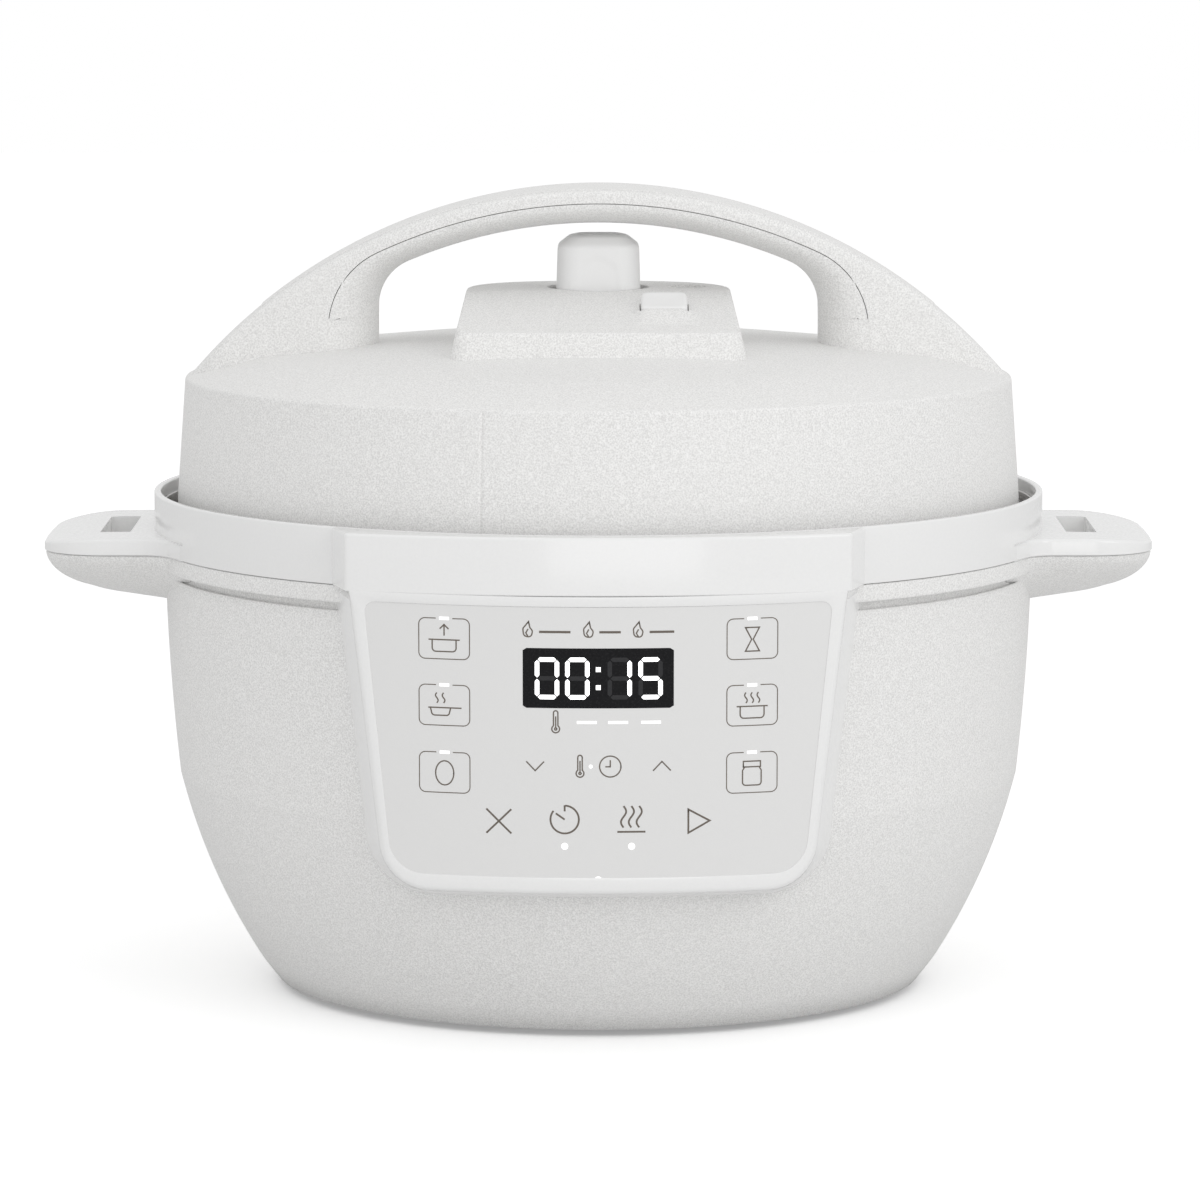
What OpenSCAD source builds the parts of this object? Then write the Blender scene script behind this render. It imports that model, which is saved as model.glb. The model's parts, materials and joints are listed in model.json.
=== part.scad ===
// Electric pressure cooker, wide low body, arched lid handle, touch panel.
// Millimetres. Z = 0 is the worktop, the lid axis is X = Y = 0, the front faces -Y.
// At rest the lid is on and locked.

/* [Body] */
// Radius of the housing at its top edge
body_r = 178; // [176:0.5:179]
// Height of the housing's top edge
body_top = 171; // [170:0.5:171]
// Wall of the housing
wall = 3; // [2:0.5:4]
// Radius of the glossy ring round the top
ring_r = 182.4; // [182:0.1:184]
// Height of the ring's upper edge
ring_top = 204.2; // [202:0.1:206]

/* [Side handles] */
// Distance from the lid axis to a handle's tip
grip_reach = 227.5; // [222:0.5:230]
// Half the width of a side handle
grip_half = 55; // [50:1:58]
// Length of the slot in a side handle
slot_len = 58; // [40:1:60]
// Width of the slot in a side handle
slot_w = 12.4; // [10:0.2:14]

/* [Control panel] */
// Radius of the panel's curved front
panel_r = 290; // [280:5:300]
// Backward lean of the panel's foot, in degrees
panel_lean = 3; // [2:0.5:4]
// Width of the display
display_w = 57.7; // [50:0.1:60]
// Height of the display
display_h = 23.3; // [20:0.1:24]

/* [Pot] */
// Inner radius of the cooking pot
pot_r = 133; // [130:0.5:133]
// Height of the pot's underside
pot_floor = 58; // [58:1:64]
// Number of bayonet lugs
lug_count = 6; // [6]

/* [Lid] */
// Radius of the lid's wall where it leaves the ring
lid_r = 172.6; // [171:0.2:173]
// Height of the crown of the lid
lid_crown = 267; // [266:0.5:268]
// Radius of the handle's outer arc
arch_r = 221; // [219:0.5:222]
// Half the handle's width over the middle
arch_half = 30; // [28:0.5:31]

/* [Hidden] */

$fn = 96;
eps = 0.01;
matte_white = [0.90, 0.90, 0.89];
gloss_white = [0.95, 0.95, 0.95];
panel_grey = [0.86, 0.86, 0.86];
steel = [0.72, 0.72, 0.73];
dark_steel = [0.45, 0.45, 0.46];
board_green = [0.10, 0.35, 0.22];
rubber_black = [0.10, 0.10, 0.10];
silicone = [0.93, 0.93, 0.90];

// Housing
foot_h = 2.5;
bowl_r = 172.3;
bowl_z = 87.7;
chin_r = 140;
chin_z = 12;
sole_r = 132.5;
bowl_bulge = 3.4;
side_bulge = 0.9;
seat_r = 114;
screw_ring_r = 120;
window_x = 76;
window_z = [76, 168];

// Collar, ring and rim, all turned about the lid axis
band_r = 182;
band_z = 174.2;
seam_z = 182.6;
neck_r = 176;
shelf_top = 175.2;
ring_in = 179.6;
cap_top = 187.5;
grip_low = 158.5;
slot_x = 196.8;

// Bayonet rim
liner_in = 138;
flange_z = [188, 190];
gap_r = 146;
tab_r = 152;
tab_angle = 26;
lug_in = 147.5;
lug_z = [183, 186];
skirt_in = 153.5;
skirt_out = 155;
skirt_low = 181;
rim_z = [190.3, 192];
plate_z = 200.2;
plate_t = 1.5;
dome_z = 240;

// Heating
heater_r = 95;
heater_t = 8;
liner_floor = 41;
sensor_r = 14;
sensor_stem = 5;
bracket_z = [24, 26];

// Panel, in its own leaning frame: y = 0 is the front at the middle, z = 0 the upper seam
panel_front = -189;
panel_top = 181.4;
bezel_half = [96.7, 85];
bezel_low = [-96, -116.5];
glass_top = -4;
glass_low = -109.5;
glass_half = [90, 80];
draft = 0.27;
board_y = 18.4;
board_t = 1.6;
display_z = -31;
key_x = 59;
key_z = [-8.4, -34.6, -61];
stage_x = [-4.8, 7.4, 19.6];
stage_z = -48;
dot_x = [-12.8, 12.8];
dot_z = -97;
boss_x = 66;
boss_z = [-19, -86];
ribbon_x = -28;
bend_y = [11.8, 13.8];

// Arched handle
arch_z = 107;
seam_r = 211;
seam_centre = 111.2;
grip_r = 200;
grip_centre = 113;
gap_half = 90;
gap_fillet = 20;
seam_half = 110;
seam_fillet = 35;
insert_low = 275;
lens_r = 943;
cover_reach = 138;

// Valve platform and its mechanism
deck_z = 286.5;
deck_front = -86;
deck_back = 45;
deck_half = 61;
deck_wall = 2.5;
knob_half = 17.25;
recess_r = 20.6;
recess_z = 284;
stem_r = 9.5;
pipe_r = 6;
button_x = 26.5;
button_y = -48;
button_size = [18.6, 15];
float_x = 36;
float_y = 2;
button_travel = 4;
knob_travel = 2.5;
lever_len = norm([button_x, button_y]);
button_arm = lever_len * button_travel / (button_travel + knob_travel);
knob_arm = lever_len - button_arm;
lever_angle = atan2(-button_y, -button_x);
pivot = [button_x, button_y] * knob_arm / lever_len;
pivot_z = 266.5;
lever_t = 3;
pin_r = 1.5;
fit = 0.06;
spring_seat = 254;

// Points of an arc from angle a0 to a1 about c
function arc(c, r, a0, a1, n) = [for (i = [0:n]) let (a = a0 + (a1 - a0) * i / n) c + r * [cos(a), sin(a)]];

// Points from a to b bowed outwards by s at the middle
function bowed(a, b, s, n) = [for (i = [0:n]) let (t = i / n, d = (b - a) / norm(b - a))
    a + (b - a) * t + [d[1], -d[0]] * s * 4 * t * (1 - t)];

function housing_side() = concat([[sole_r, foot_h]],
    bowed([chin_r, chin_z], [bowl_r, bowl_z], bowl_bulge, 8),
    bowed([bowl_r + 0.1, bowl_z + 1], [body_r, body_top], side_bulge, 4));

function lid_side() = [[lid_r + 0.6, 187], [lid_r, 204], [lid_r - 3.2, 250.3], [lid_r - 4.2, 251.3],
    [135, 259.8], [95, 264.3], [60, 266], [0, lid_crown]];

function inset(points, dr, dz) = [for (p = points) [max(p[0] - dr, 0), p[1] - dz]];

function reversed(points) = [for (i = [len(points) - 1:-1:0]) points[i]];

module ring_section(points) {
    rotate_extrude($fn = 180) polygon(points);
}

module sector(r, angle) {
    polygon(concat([[0, 0]], arc([0, 0], r, -angle / 2, angle / 2, 2)));
}

module around(count, r, start) {
    for (i = [0:count - 1]) rotate([0, 0, start + i * 360 / count]) translate([r, 0, 0]) children();
}

// A helical spring of wire radius w standing on z = 0, with a height h
module coil(r, w, h, turns) {
    sides = 8;
    steps = turns * 14;
    rings = [for (i = [0:steps]) let (a = i * 360 * turns / steps, z = w + (h - 2 * w) * i / steps)
        [for (j = [0:sides - 1]) let (b = j * 360 / sides, q = r + w * cos(b))
            [q * cos(a), q * sin(a), z + w * sin(b)]]];
    points = [for (ring = rings) for (p = ring) p];
    side_faces = [for (i = [0:steps - 1]) for (j = [0:sides - 1]) let (k = (j + 1) % sides)
        [i * sides + j, (i + 1) * sides + j, (i + 1) * sides + k, i * sides + k]];
    start_face = [for (j = [0:sides - 1]) j];
    end_face = [for (j = [sides - 1:-1:0]) steps * sides + j];
    polyhedron(points, concat([start_face, end_face], side_faces), convexity = 4);
}

// ---------- housing ----------

module housing_solid(grow = 0) {
    ring_section(concat([[0, foot_h]], inset(housing_side(), -grow, 0), [[0, body_top]]));
}

module outer_housing() {
    inner = inset(housing_side(), wall, 0);
    color(matte_white) difference() {
        union() {
            ring_section(concat(housing_side(),
                reversed([for (p = inner) if (p[1] > chin_z + 1) p]),
                [[chin_r - wall, chin_z + 1], [chin_r - wall - 3, 8], [seat_r, 8], [seat_r, 5],
                 [sole_r - 0.7, 5], [sole_r - 0.7, foot_h]]));
            around(4, screw_ring_r, 45) translate([0, 0, 5]) cylinder(r = 5.5, h = 19);
        }
        translate([-window_x, -body_r - 10, window_z[0]])
            cube([2 * window_x, 60, window_z[1] - window_z[0]]);
        translate([-17, body_r - 50, 36]) cube([34, 60, 24]);
        around(4, screw_ring_r, 45) cylinder(r = 1.6, h = 20);
    }
}

// Plan of one side handle, tip towards +X
module grip_plan() {
    tip = 26;
    polygon(concat([[body_r - 20, -grip_half]],
        arc([grip_reach - tip, -grip_half + tip], tip, -90, 0, 8),
        arc([grip_reach - tip, grip_half - tip], tip, 0, 90, 8),
        [[body_r - 20, grip_half]]));
}

// Side view of one side handle
module grip_profile() {
    polygon(concat([[140, grip_low - 5], [178, grip_low], [grip_reach - 24, grip_low + 3]],
        arc([grip_reach - 16, grip_low + 20], 16, -80, 0, 6),
        arc([grip_reach - 10, cap_top - 10], 10, 15, 90, 6), [[140, cap_top]]));
}

// End view of one side handle
module grip_end() {
    polygon([[-grip_half, cap_top], [-grip_half, 176], [-48, 167], [-36, 161], [-22, 158], [22, 158],
        [36, 161], [48, 167], [grip_half, 176], [grip_half, cap_top]]);
}

module side_grip() {
    intersection() {
        translate([0, 0, 150]) linear_extrude(50) grip_plan();
        rotate([90, 0, 0]) translate([0, 0, -70]) linear_extrude(140) grip_profile();
        rotate([90, 0, 90]) translate([0, 0, 120]) linear_extrude(120) grip_end();
    }
}

module both_sides() {
    children();
    mirror([1, 0, 0]) children();
}

module handle_collar() {
    color(matte_white) difference() {
        union() {
            ring_section([[150, body_top], [neck_r, body_top], [neck_r, band_z], [band_r, band_z],
                [band_r, seam_z], [178.8, seam_z], [178.8, shelf_top], [150, shelf_top]]);
            both_sides() difference() {
                side_grip();
                translate([0, 0, 150]) cylinder(r = body_r + 0.3, h = band_z - 150);
                translate([0, 0, 150]) cylinder(r = band_r - 1, h = 60);
                translate([0, 0, seam_z]) cylinder(r = 300, h = 20);
            }
        }
        both_sides() translate([slot_x - slot_w / 2, -slot_len / 2, 166])
            cube([slot_w, slot_len, 30]);
    }
}

// Plan of the forward pad of the ring
module pad_plan() {
    half = 97.3;
    rise = asin(half / panel_r);
    polygon(concat([[-103.5, -150]], arc([0, panel_front + panel_r], panel_r, -90 - rise, -90 + rise, 24),
        [[103.5, -150]]));
}

module top_ring() {
    color(gloss_white) difference() {
        union() {
            ring_section([[175.8, shelf_top], [178.6, shelf_top], [178.6, seam_z], [ring_r, seam_z],
                [ring_r, ring_top - 1], [ring_r - 1, ring_top], [ring_in + 0.9, ring_top],
                [ring_in, ring_top - 1], [ring_in, seam_z + 2], [175.8, seam_z + 2]]);
            difference() {
                translate([0, 0, panel_top + 0.2]) linear_extrude(203 - panel_top - 0.2) pad_plan();
                translate([0, 0, 150]) cylinder(r = ring_r - 0.6, h = 100, $fn = 180);
                translate([0, 0, 150]) cylinder(r = band_r + 0.2, h = seam_z - 150, $fn = 180);
            }
            both_sides() difference() {
                side_grip();
                translate([0, 0, 150]) cylinder(r = ring_r - 1, h = 60, $fn = 180);
                translate([0, 0, 100]) cylinder(r = 300, h = seam_z - 100);
            }
        }
        both_sides() translate([slot_x - slot_w / 2, -slot_len / 2, 150])
            cube([slot_w, slot_len, 60]);
    }
}

module rim_collar() {
    color(dark_steel) ring_section([[139.4, shelf_top], [175.6, shelf_top], [175.6, seam_z + 2.2],
        [179.4, seam_z + 2.2], [179.4, 199], [178.4, 199], [178.4, seam_z + 3.2],
        [174.6, seam_z + 3.2], [174.6, shelf_top + 1], [139.4, shelf_top + 1]]);
}

// ---------- pot well and heating ----------

module outer_pot() {
    color(dark_steel) {
        ring_section([[30, liner_floor - 1], [liner_in + 1, liner_floor - 1], [liner_in + 1, flange_z[0]],
            [gap_r, flange_z[0]], [gap_r, flange_z[1]], [liner_in, flange_z[1]],
            [liner_in, liner_floor], [30, liner_floor]]);
        translate([0, 0, flange_z[0]]) linear_extrude(flange_z[1] - flange_z[0]) difference() {
            intersection() {
                circle(r = tab_r);
                union() for (i = [0:lug_count - 1]) rotate(i * 360 / lug_count) sector(200, tab_angle);
            }
            circle(r = gap_r - 1);
        }
    }
}

module heating_plate() {
    color(steel) difference() {
        translate([0, 0, pot_floor - heater_t]) cylinder(r = heater_r, h = heater_t);
        translate([0, 0, pot_floor - heater_t - 1]) cylinder(r = sensor_r + 2, h = heater_t + 2);
    }
}

module heating_element() {
    color(dark_steel) {
        rotate([0, 0, 20]) rotate_extrude(angle = 320) translate([56, pot_floor - heater_t - 6.5]) square([8, 6.5]);
        for (a = [24, 336]) rotate([0, 0, a]) translate([60, 0, liner_floor]) cylinder(r = 2, h = 3);
    }
}

module plate_supports() {
    color(steel) around(3, 84, 90) translate([0, 0, liner_floor]) cylinder(r = 6, h = pot_floor - heater_t - liner_floor);
}

module thermal_fuse() {
    color(panel_grey) translate([-4, 26, pot_floor - heater_t - 5]) cube([8, 20, 5]);
}

module sensor_bracket() {
    color(steel) difference() {
        union() {
            translate([-40, -9, bracket_z[0]]) cube([80, 18, 2]);
            both_sides() translate([38, -9, bracket_z[0]]) cube([2, 18, liner_floor - 1 - bracket_z[0]]);
        }
        translate([0, 0, 0]) cylinder(r = sensor_stem + fit, h = 60);
    }
}

module sensor_spring() {
    color(steel) translate([0, 0, bracket_z[1]]) coil(8, 0.8, pot_floor - heater_t - bracket_z[1], 6);
}

module temperature_sensor() {
    color(steel) {
        translate([0, 0, pot_floor - heater_t]) cylinder(r = sensor_r, h = heater_t);
        translate([0, 0, bracket_z[0] - 2]) cylinder(r = sensor_stem, h = pot_floor - heater_t - bracket_z[0] + 3);
    }
}

// ---------- control panel ----------

// Puts children in the panel's leaning frame
module in_panel() {
    translate([0, panel_front, panel_top]) rotate([panel_lean, 0, 0]) children();
}

// Front elevation of the bezel, grown by d
module bezel_outline(d) {
    polygon(concat([[-bezel_half[0] - d, 8], [-bezel_half[1] - d, bezel_low[0]]],
        arc([-bezel_half[1] + 19, bezel_low[1] + 19], 19 + d, 190, 270, 6),
        arc([bezel_half[1] - 19, bezel_low[1] + 19], 19 + d, -90, -10, 6),
        [[bezel_half[1] + d, bezel_low[0]], [bezel_half[0] + d, 8]]));
}

// Front elevation of the glass, grown by d
module glass_outline(d) {
    polygon(concat(arc([-glass_half[0] + 4, glass_top - 4], 4 + d, 90, 176, 3),
        arc([-glass_half[1] + 13, glass_low + 13], 13 + d, 186, 270, 6),
        arc([glass_half[1] - 13, glass_low + 13], 13 + d, -90, -6, 6),
        arc([glass_half[0] - 4, glass_top - 4], 4 + d, 4, 90, 3)));
}

// Slab of an elevation drawing between depths y0 and y1 of the panel's frame
module slab(y0, y1) {
    translate([0, y1, 0]) rotate([90, 0, 0]) linear_extrude(y1 - y0) children();
}

// Everything behind the curved front, set back by d
module behind_front(d) {
    translate([0, panel_r, -150]) cylinder(r = panel_r - d, h = 200, $fn = 240);
}

module front_bezel() {
    color(gloss_white) difference() {
        in_panel() difference() {
            intersection() {
                hull() {
                    slab(-5, -4.9) bezel_outline(-draft * 21);
                    slab(40, 40.1) bezel_outline(draft * 24);
                }
                behind_front(0);
            }
            intersection() {
                slab(-10, 20) glass_outline(0.3);
                difference() {
                    slab(-10, 60) glass_outline(0.3);
                    behind_front(2.4);
                }
            }
            intersection() {
                slab(0, 60) bezel_outline(-6);
                behind_front(5);
                translate([-150, -20, -150]) cube([300, 100, 146]);
            }
            slab(-10, 30) translate([-display_w / 2 - 0.5, display_z - display_h / 2 - 0.5])
                square([display_w + 1, display_h + 1]);
            slab(-10, 30) guide_spots(0.4);
        }
        housing_solid(0.1);
        translate([0, 0, body_top - 1]) cylinder(r = body_r + 0.1, h = 10, $fn = 180);
        translate([0, 0, band_z - 0.4]) cylinder(r = band_r + 0.3, h = 40, $fn = 180);
        translate([-200, -300, panel_top]) cube([400, 300, 40]);
    }
    color(gloss_white) in_panel() screw_bosses();
}

module screw_bosses() {
    for (x = [-boss_x, boss_x], z = boss_z) difference() {
        intersection() {
            slab(2, board_y) translate([x, z]) circle(r = 4, $fn = 32);
            behind_front(4.9);
        }
        slab(board_y - 6, board_y + 1) translate([x, z]) circle(r = 1.1, $fn = 32);
    }
}

// Where light shines through the panel: key bars, stage bars and two dots
module guide_spots(grow) {
    for (x = [-key_x, key_x], z = key_z) translate([x - 2.2 - grow, z - 0.9 - grow])
        square([4.4 + 2 * grow, 1.8 + 2 * grow]);
    for (x = stage_x) translate([x - 3.7 - grow, stage_z - 0.7 - grow])
        square([7.4 + 2 * grow, 1.4 + 2 * grow]);
    for (x = dot_x) translate([x, dot_z]) circle(r = 1.4 + grow, $fn = 32);
}

module panel_overlay() {
    color(panel_grey) in_panel() intersection() {
        slab(-10, 30) glass_outline(0);
        difference() {
            behind_front(0.3);
            behind_front(2.3);
        }
    }
}

module display_module() {
    color("black") in_panel() slab(4.2, board_y)
        translate([-display_w / 2, display_z - display_h / 2]) square([display_w, display_h]);
}

module light_guides() {
    color("white") {
        difference() {
            in_panel() intersection() {
                slab(0, board_y) guide_spots(0);
                behind_front(2.6);
            }
            in_panel() translate([-100, bend_y[1], -16]) cube([200, 20, 16]);
        }
        in_panel() for (x = [-key_x, key_x]) {
            translate([x - 2.2, bend_y[0], -18.2]) cube([4.4, bend_y[1] - bend_y[0], 10.7]);
            translate([x - 2.2, bend_y[0], -18.2]) cube([4.4, board_y - bend_y[0], 1.8]);
        }
    }
}

module control_board() {
    color(board_green) in_panel() difference() {
        slab(board_y, board_y + board_t) translate([-70.5, -101]) square([141, 85.8]);
        slab(0, 40) for (x = [-boss_x, boss_x], z = boss_z) translate([x, z]) circle(r = 1.4, $fn = 32);
    }
}

module board_screws() {
    color(steel) in_panel() for (x = [-boss_x, boss_x], z = boss_z) translate([x, 0, z]) {
        translate([0, board_y + board_t + 1.8, 0]) rotate([90, 0, 0]) cylinder(r = 2.6, h = 1.8, $fn = 32);
        translate([0, board_y + board_t + 1, 0]) rotate([90, 0, 0]) cylinder(r = 1, h = 6.5, $fn = 32);
    }
}

// A flat lead of width w that follows (y, z) points, its other face set off by shift
module lead(path, w, shift) {
    rotate([90, 0, 90]) translate([0, 0, -w / 2])
        linear_extrude(w) polygon(concat(path, reversed([for (p = path) p + shift])));
}

module ribbon_cable() {
    color(panel_grey) translate([ribbon_x, 0, 0]) lead([[-164.4, 96], [-156, 90], [-149, 60], [-145, 40],
        [-136, 24], [-120, 17.6], [40, 17.6]], 18, [0.7, 0.7]);
}

// ---------- electrics in the base ----------

module power_board() {
    color(board_green) translate([-55, 35, 14]) cube([110, 60, board_t]);
}

module board_parts() {
    top = 14 + board_t;
    color(rubber_black) {
        translate([-48, 42, top]) cube([28, 24, 20]);
        translate([-10, 46, top]) cube([20, 16, 15]);
        translate([30, 56, top]) cylinder(r = 8, h = 20, $fn = 48);
        translate([ribbon_x - 10, 35.5, top]) cube([20, 6, 1.9]);
    }
}

module mains_leads() {
    color(rubber_black) for (x = [-6, 6]) translate([x, 0, 0])
        lead([[90, 16.2], [122, 16.2], [136, 22], [147, 34.6]], 2.4, [-1.6, 1.6]);
}

module power_inlet() {
    color(rubber_black) difference() {
        translate([-16.7, 141, 36.3]) cube([33.4, 20.5, 23.4]);
        translate([-12.3, 144.5, 40]) cube([24.6, 30, 16]);
        inlet_pin_row(0.02);
    }
}

module inlet_pin_row(grow) {
    for (p = [[-7, 48], [7, 48], [0, 50]]) translate([p[0] - 1 - grow, 142, p[1] - 2 - grow])
        cube([2 + 2 * grow, 15, 4 + 2 * grow]);
}

module inlet_pins() {
    color("gold") inlet_pin_row(0);
}

module base_plate() {
    color(rubber_black) difference() {
        union() {
            translate([0, 0, foot_h]) cylinder(r = sole_r - 1, h = 5 - foot_h, $fn = 180);
            around(3, 100, 30) translate([0, 0, foot_h]) cylinder(r = 6, h = liner_floor - 1 - foot_h);
            for (x = [-50, 50], y = [40, 90]) translate([x, y, foot_h]) cylinder(r = 3, h = 14 - foot_h);
        }
        around(4, screw_ring_r, 45) cylinder(r = 2.2, h = 20);
        around(4, screw_ring_r, 45) translate([0, 0, -eps]) cylinder(r = 4, h = 3.65);
        for (i = [-6:6]) translate([i * 9 - 1.5, -70, 0]) cube([3, 60, 8]);
    }
}

module base_screws() {
    color(steel) around(4, screw_ring_r, 45) {
        translate([0, 0, 3.5]) cylinder(r = 1.5, h = 14, $fn = 32);
        translate([0, 0, foot_h + 0.2]) cylinder(r = 3.6, h = 0.85, $fn = 32);
    }
}

module rubber_feet() {
    color(rubber_black) around(4, 104, 0) cylinder(r = 9, h = foot_h);
}

// ---------- pot and seal ----------

module inner_pot() {
    outer = pot_r + 1;
    corner = 12;
    color(steel) ring_section(concat([[0, pot_floor]],
        arc([outer - corner, pot_floor + corner], corner, -90, 0, 6),
        [[outer, rim_z[0]], [142, rim_z[0]], [142, rim_z[1]], [pot_r, rim_z[1]]],
        arc([outer - corner, pot_floor + corner + 1.5], corner - 1, 0, -90, 6),
        [[0, pot_floor + 2.5]]));
}

module sealing_ring() {
    color(silicone) ring_section([[131, 192.1], [144.5, 192.1], [146, 193.5], [146, 200], [131, 200],
        [129, 198], [129, 194]]);
}

module seal_rack() {
    color(steel) translate([0, 0, 196]) rotate_extrude($fn = 120) translate([127.3, 0]) circle(r = 1.5, $fn = 32);
}

// ---------- lid ----------

module lid_solid() {
    ring_section(concat([[0, 187]], lid_side()));
}

function handle_screw_spots() = [for (x = [-100, 100], y = [-12, 12]) [x, y]];

module lid_cover() {
    inner = inset(lid_side(), 2.8, 2.7);
    color(matte_white) difference() {
        union() {
            ring_section(concat(lid_side(), reversed([for (p = inner) if (p[1] > 190) p]),
                [[lid_r - 2.2, 187]]));
            intersection() {
                union() {
                    around(3, 92, 90) translate([0, 0, dome_z]) cylinder(r = 5, h = 30);
                    for (p = handle_screw_spots()) translate([p[0], p[1], 256]) cylinder(r = 6, h = 12);
                }
                lid_solid();
            }
        }
        around(3, 92, 90) translate([0, 0, dome_z - 1]) cylinder(r = 1.5, h = 14);
        for (p = handle_screw_spots()) translate([p[0], p[1], 250]) cylinder(r = 2.2, h = 20);
        translate([-48, -66, 250]) cube([96, 100, 30]);
        rotate([0, 0, -106.3]) translate([lid_r - 4, -0.35, 180]) cube([10, 0.7, 70]);
        rotate([0, 0, -106.3]) intersection() {
            translate([0, -0.35, 180]) cube([200, 0.7, 71]);
            translate([0, 0, 180]) cylinder(r = lid_r - 3.8, h = 1);
        }
    }
}

module lid_plate() {
    t = plate_t;
    color(steel) difference() {
        union() {
            ring_section([[0, dome_z - t], [111, dome_z - t], [124, plate_z], [skirt_in, plate_z],
                [skirt_in, skirt_low], [skirt_out, skirt_low], [skirt_out, plate_z + t],
                [125, plate_z + t], [112, dome_z], [0, dome_z]]);
            translate([0, 0, lug_z[0]]) linear_extrude(lug_z[1] - lug_z[0]) difference() {
                intersection() {
                    circle(r = skirt_out - 0.5);
                    union() for (i = [0:lug_count - 1]) rotate(i * 360 / lug_count) sector(200, tab_angle);
                }
                circle(r = lug_in);
            }
        }
        translate([0, 0, 230]) cylinder(r = pipe_r, h = 20);
        translate([float_x, float_y, 230]) cylinder(r = 3.4, h = 20);
        around(3, 92, 90) translate([0, 0, 230]) cylinder(r = 2, h = 20);
    }
}

module lid_plate_screws() {
    color(steel) around(3, 92, 90) {
        translate([0, 0, dome_z - plate_t - 2]) cylinder(r = 3.5, h = 2, $fn = 32);
        translate([0, 0, dome_z - plate_t - 1]) cylinder(r = 1.4, h = 12, $fn = 32);
    }
}

// Side view of the hand gap, grown by e
module gap_shape(e) {
    turn = acos((gap_half - gap_fillet) / (grip_r - gap_fillet));
    corner = [gap_half - gap_fillet, grip_centre + (grip_r - gap_fillet) * sin(turn)];
    polygon(concat([[gap_half + e, 200]], arc(corner, gap_fillet + e, 0, turn, 6),
        arc([0, grip_centre], grip_r + e, turn, 180 - turn, 24),
        arc([-corner[0], corner[1]], gap_fillet + e, 180 - turn, 180, 6), [[-gap_half - e, 200]]));
}

// Side view of everything inside the seam of the grip insert, grown by e
module seam_shape(e) {
    turn = acos((seam_half - seam_fillet) / (seam_r - seam_fillet));
    corner = [seam_half - seam_fillet, seam_centre + (seam_r - seam_fillet) * sin(turn)];
    polygon(concat([[seam_half + e, insert_low - e - 20]],
        arc(corner, seam_fillet + e, 0, turn, 8),
        arc([0, seam_centre], seam_r + e, turn, 180 - turn, 24),
        arc([-corner[0], corner[1]], seam_fillet + e, 180 - turn, 180, 8),
        [[-seam_half - e, insert_low - e - 20]]));
}

// The same above the foot of the insert
module insert_shape(e) {
    intersection() {
        seam_shape(e);
        translate([-200, insert_low - e]) square([400, 200]);
    }
}

module along_y(half) {
    rotate([90, 0, 0]) translate([0, 0, -half]) linear_extrude(2 * half) children();
}

// Vertical prism whose plan is the handle's pointed lens, narrower by d
module lens(d) {
    translate([0, 0, 240]) linear_extrude(100) intersection() {
        translate([0, lens_r - arch_half + d]) circle(r = lens_r, $fn = 360);
        translate([0, -lens_r + arch_half - d]) circle(r = lens_r, $fn = 360);
        square([2 * (lid_r - 4.2), 100], center = true);
    }
}

module handle_frame() {
    color(matte_white) difference() {
        intersection() {
            along_y(40) difference() {
                translate([0, arch_z]) circle(r = arch_r, $fn = 360);
                insert_shape(0);
                gap_shape(0);
            }
            lens(0);
        }
        lid_solid();
        intersection() {
            along_y(40) difference() {
                translate([0, arch_z]) circle(r = arch_r - 3.5, $fn = 360);
                insert_shape(3.5);
                square([2 * seam_half + 8, 700], center = true);
            }
            lens(3);
        }
        intersection() {
            cover_band(0.05);
            lens(5);
        }
        for (p = handle_screw_spots()) translate([p[0], p[1], 250]) cylinder(r = 1.6, h = 22);
    }
}

// The outermost layer of the arch between the ends of its top cover
module cover_band(grow) {
    along_y(40) intersection() {
        difference() {
            translate([0, arch_z]) circle(r = arch_r + grow, $fn = 360);
            translate([0, arch_z]) circle(r = arch_r - 2.5 - grow, $fn = 360);
        }
        translate([-cover_reach - grow, 200]) square([2 * cover_reach + 2 * grow, 200]);
    }
}

module handle_top_cover() {
    color(matte_white) intersection() {
        cover_band(0);
        lens(5.1);
    }
}

module handle_grip() {
    layers = 5;
    depth = 8.5;
    color(matte_white) intersection() {
        union() for (i = [0:layers - 1]) along_y(arch_half * cos(90 * i / layers)) difference() {
            insert_shape(-0.05);
            gap_shape(depth * (1 - cos(90 * (layers - 1 - i) / layers)));
        }
        lens(0);
    }
}

module handle_screws() {
    color(steel) for (p = handle_screw_spots()) translate([p[0], p[1], 0]) {
        translate([0, 0, 253.5]) cylinder(r = 4, h = 2.5, $fn = 32);
        translate([0, 0, 255]) cylinder(r = 1.5, h = 16, $fn = 32);
    }
}

// ---------- valves ----------

// The platform's solid, smaller by d on every side but the bottom
module deck_solid(d) {
    intersection() {
        rotate([90, 0, 90]) translate([0, 0, -70]) linear_extrude(140)
            polygon([[deck_front + d, 240], [deck_front + 2 + d, 273.5 - d], [-20 + d / 5, deck_z - d],
                [deck_back - 3 - d, deck_z - d], [deck_back - d, deck_z - 4 - d], [deck_back - d, 240]]);
        along_y(100) polygon(concat([[-deck_half + d - 2, 240]],
            arc([-deck_half + 14, deck_z - 8], 8 - d, 170, 90, 4),
            arc([deck_half - 14, deck_z - 8], 8 - d, 90, 10, 4), [[deck_half - d + 2, 240]]));
    }
}

module at_pivot() {
    translate([pivot[0], pivot[1], pivot_z]) rotate([0, 0, lever_angle]) children();
}

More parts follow.
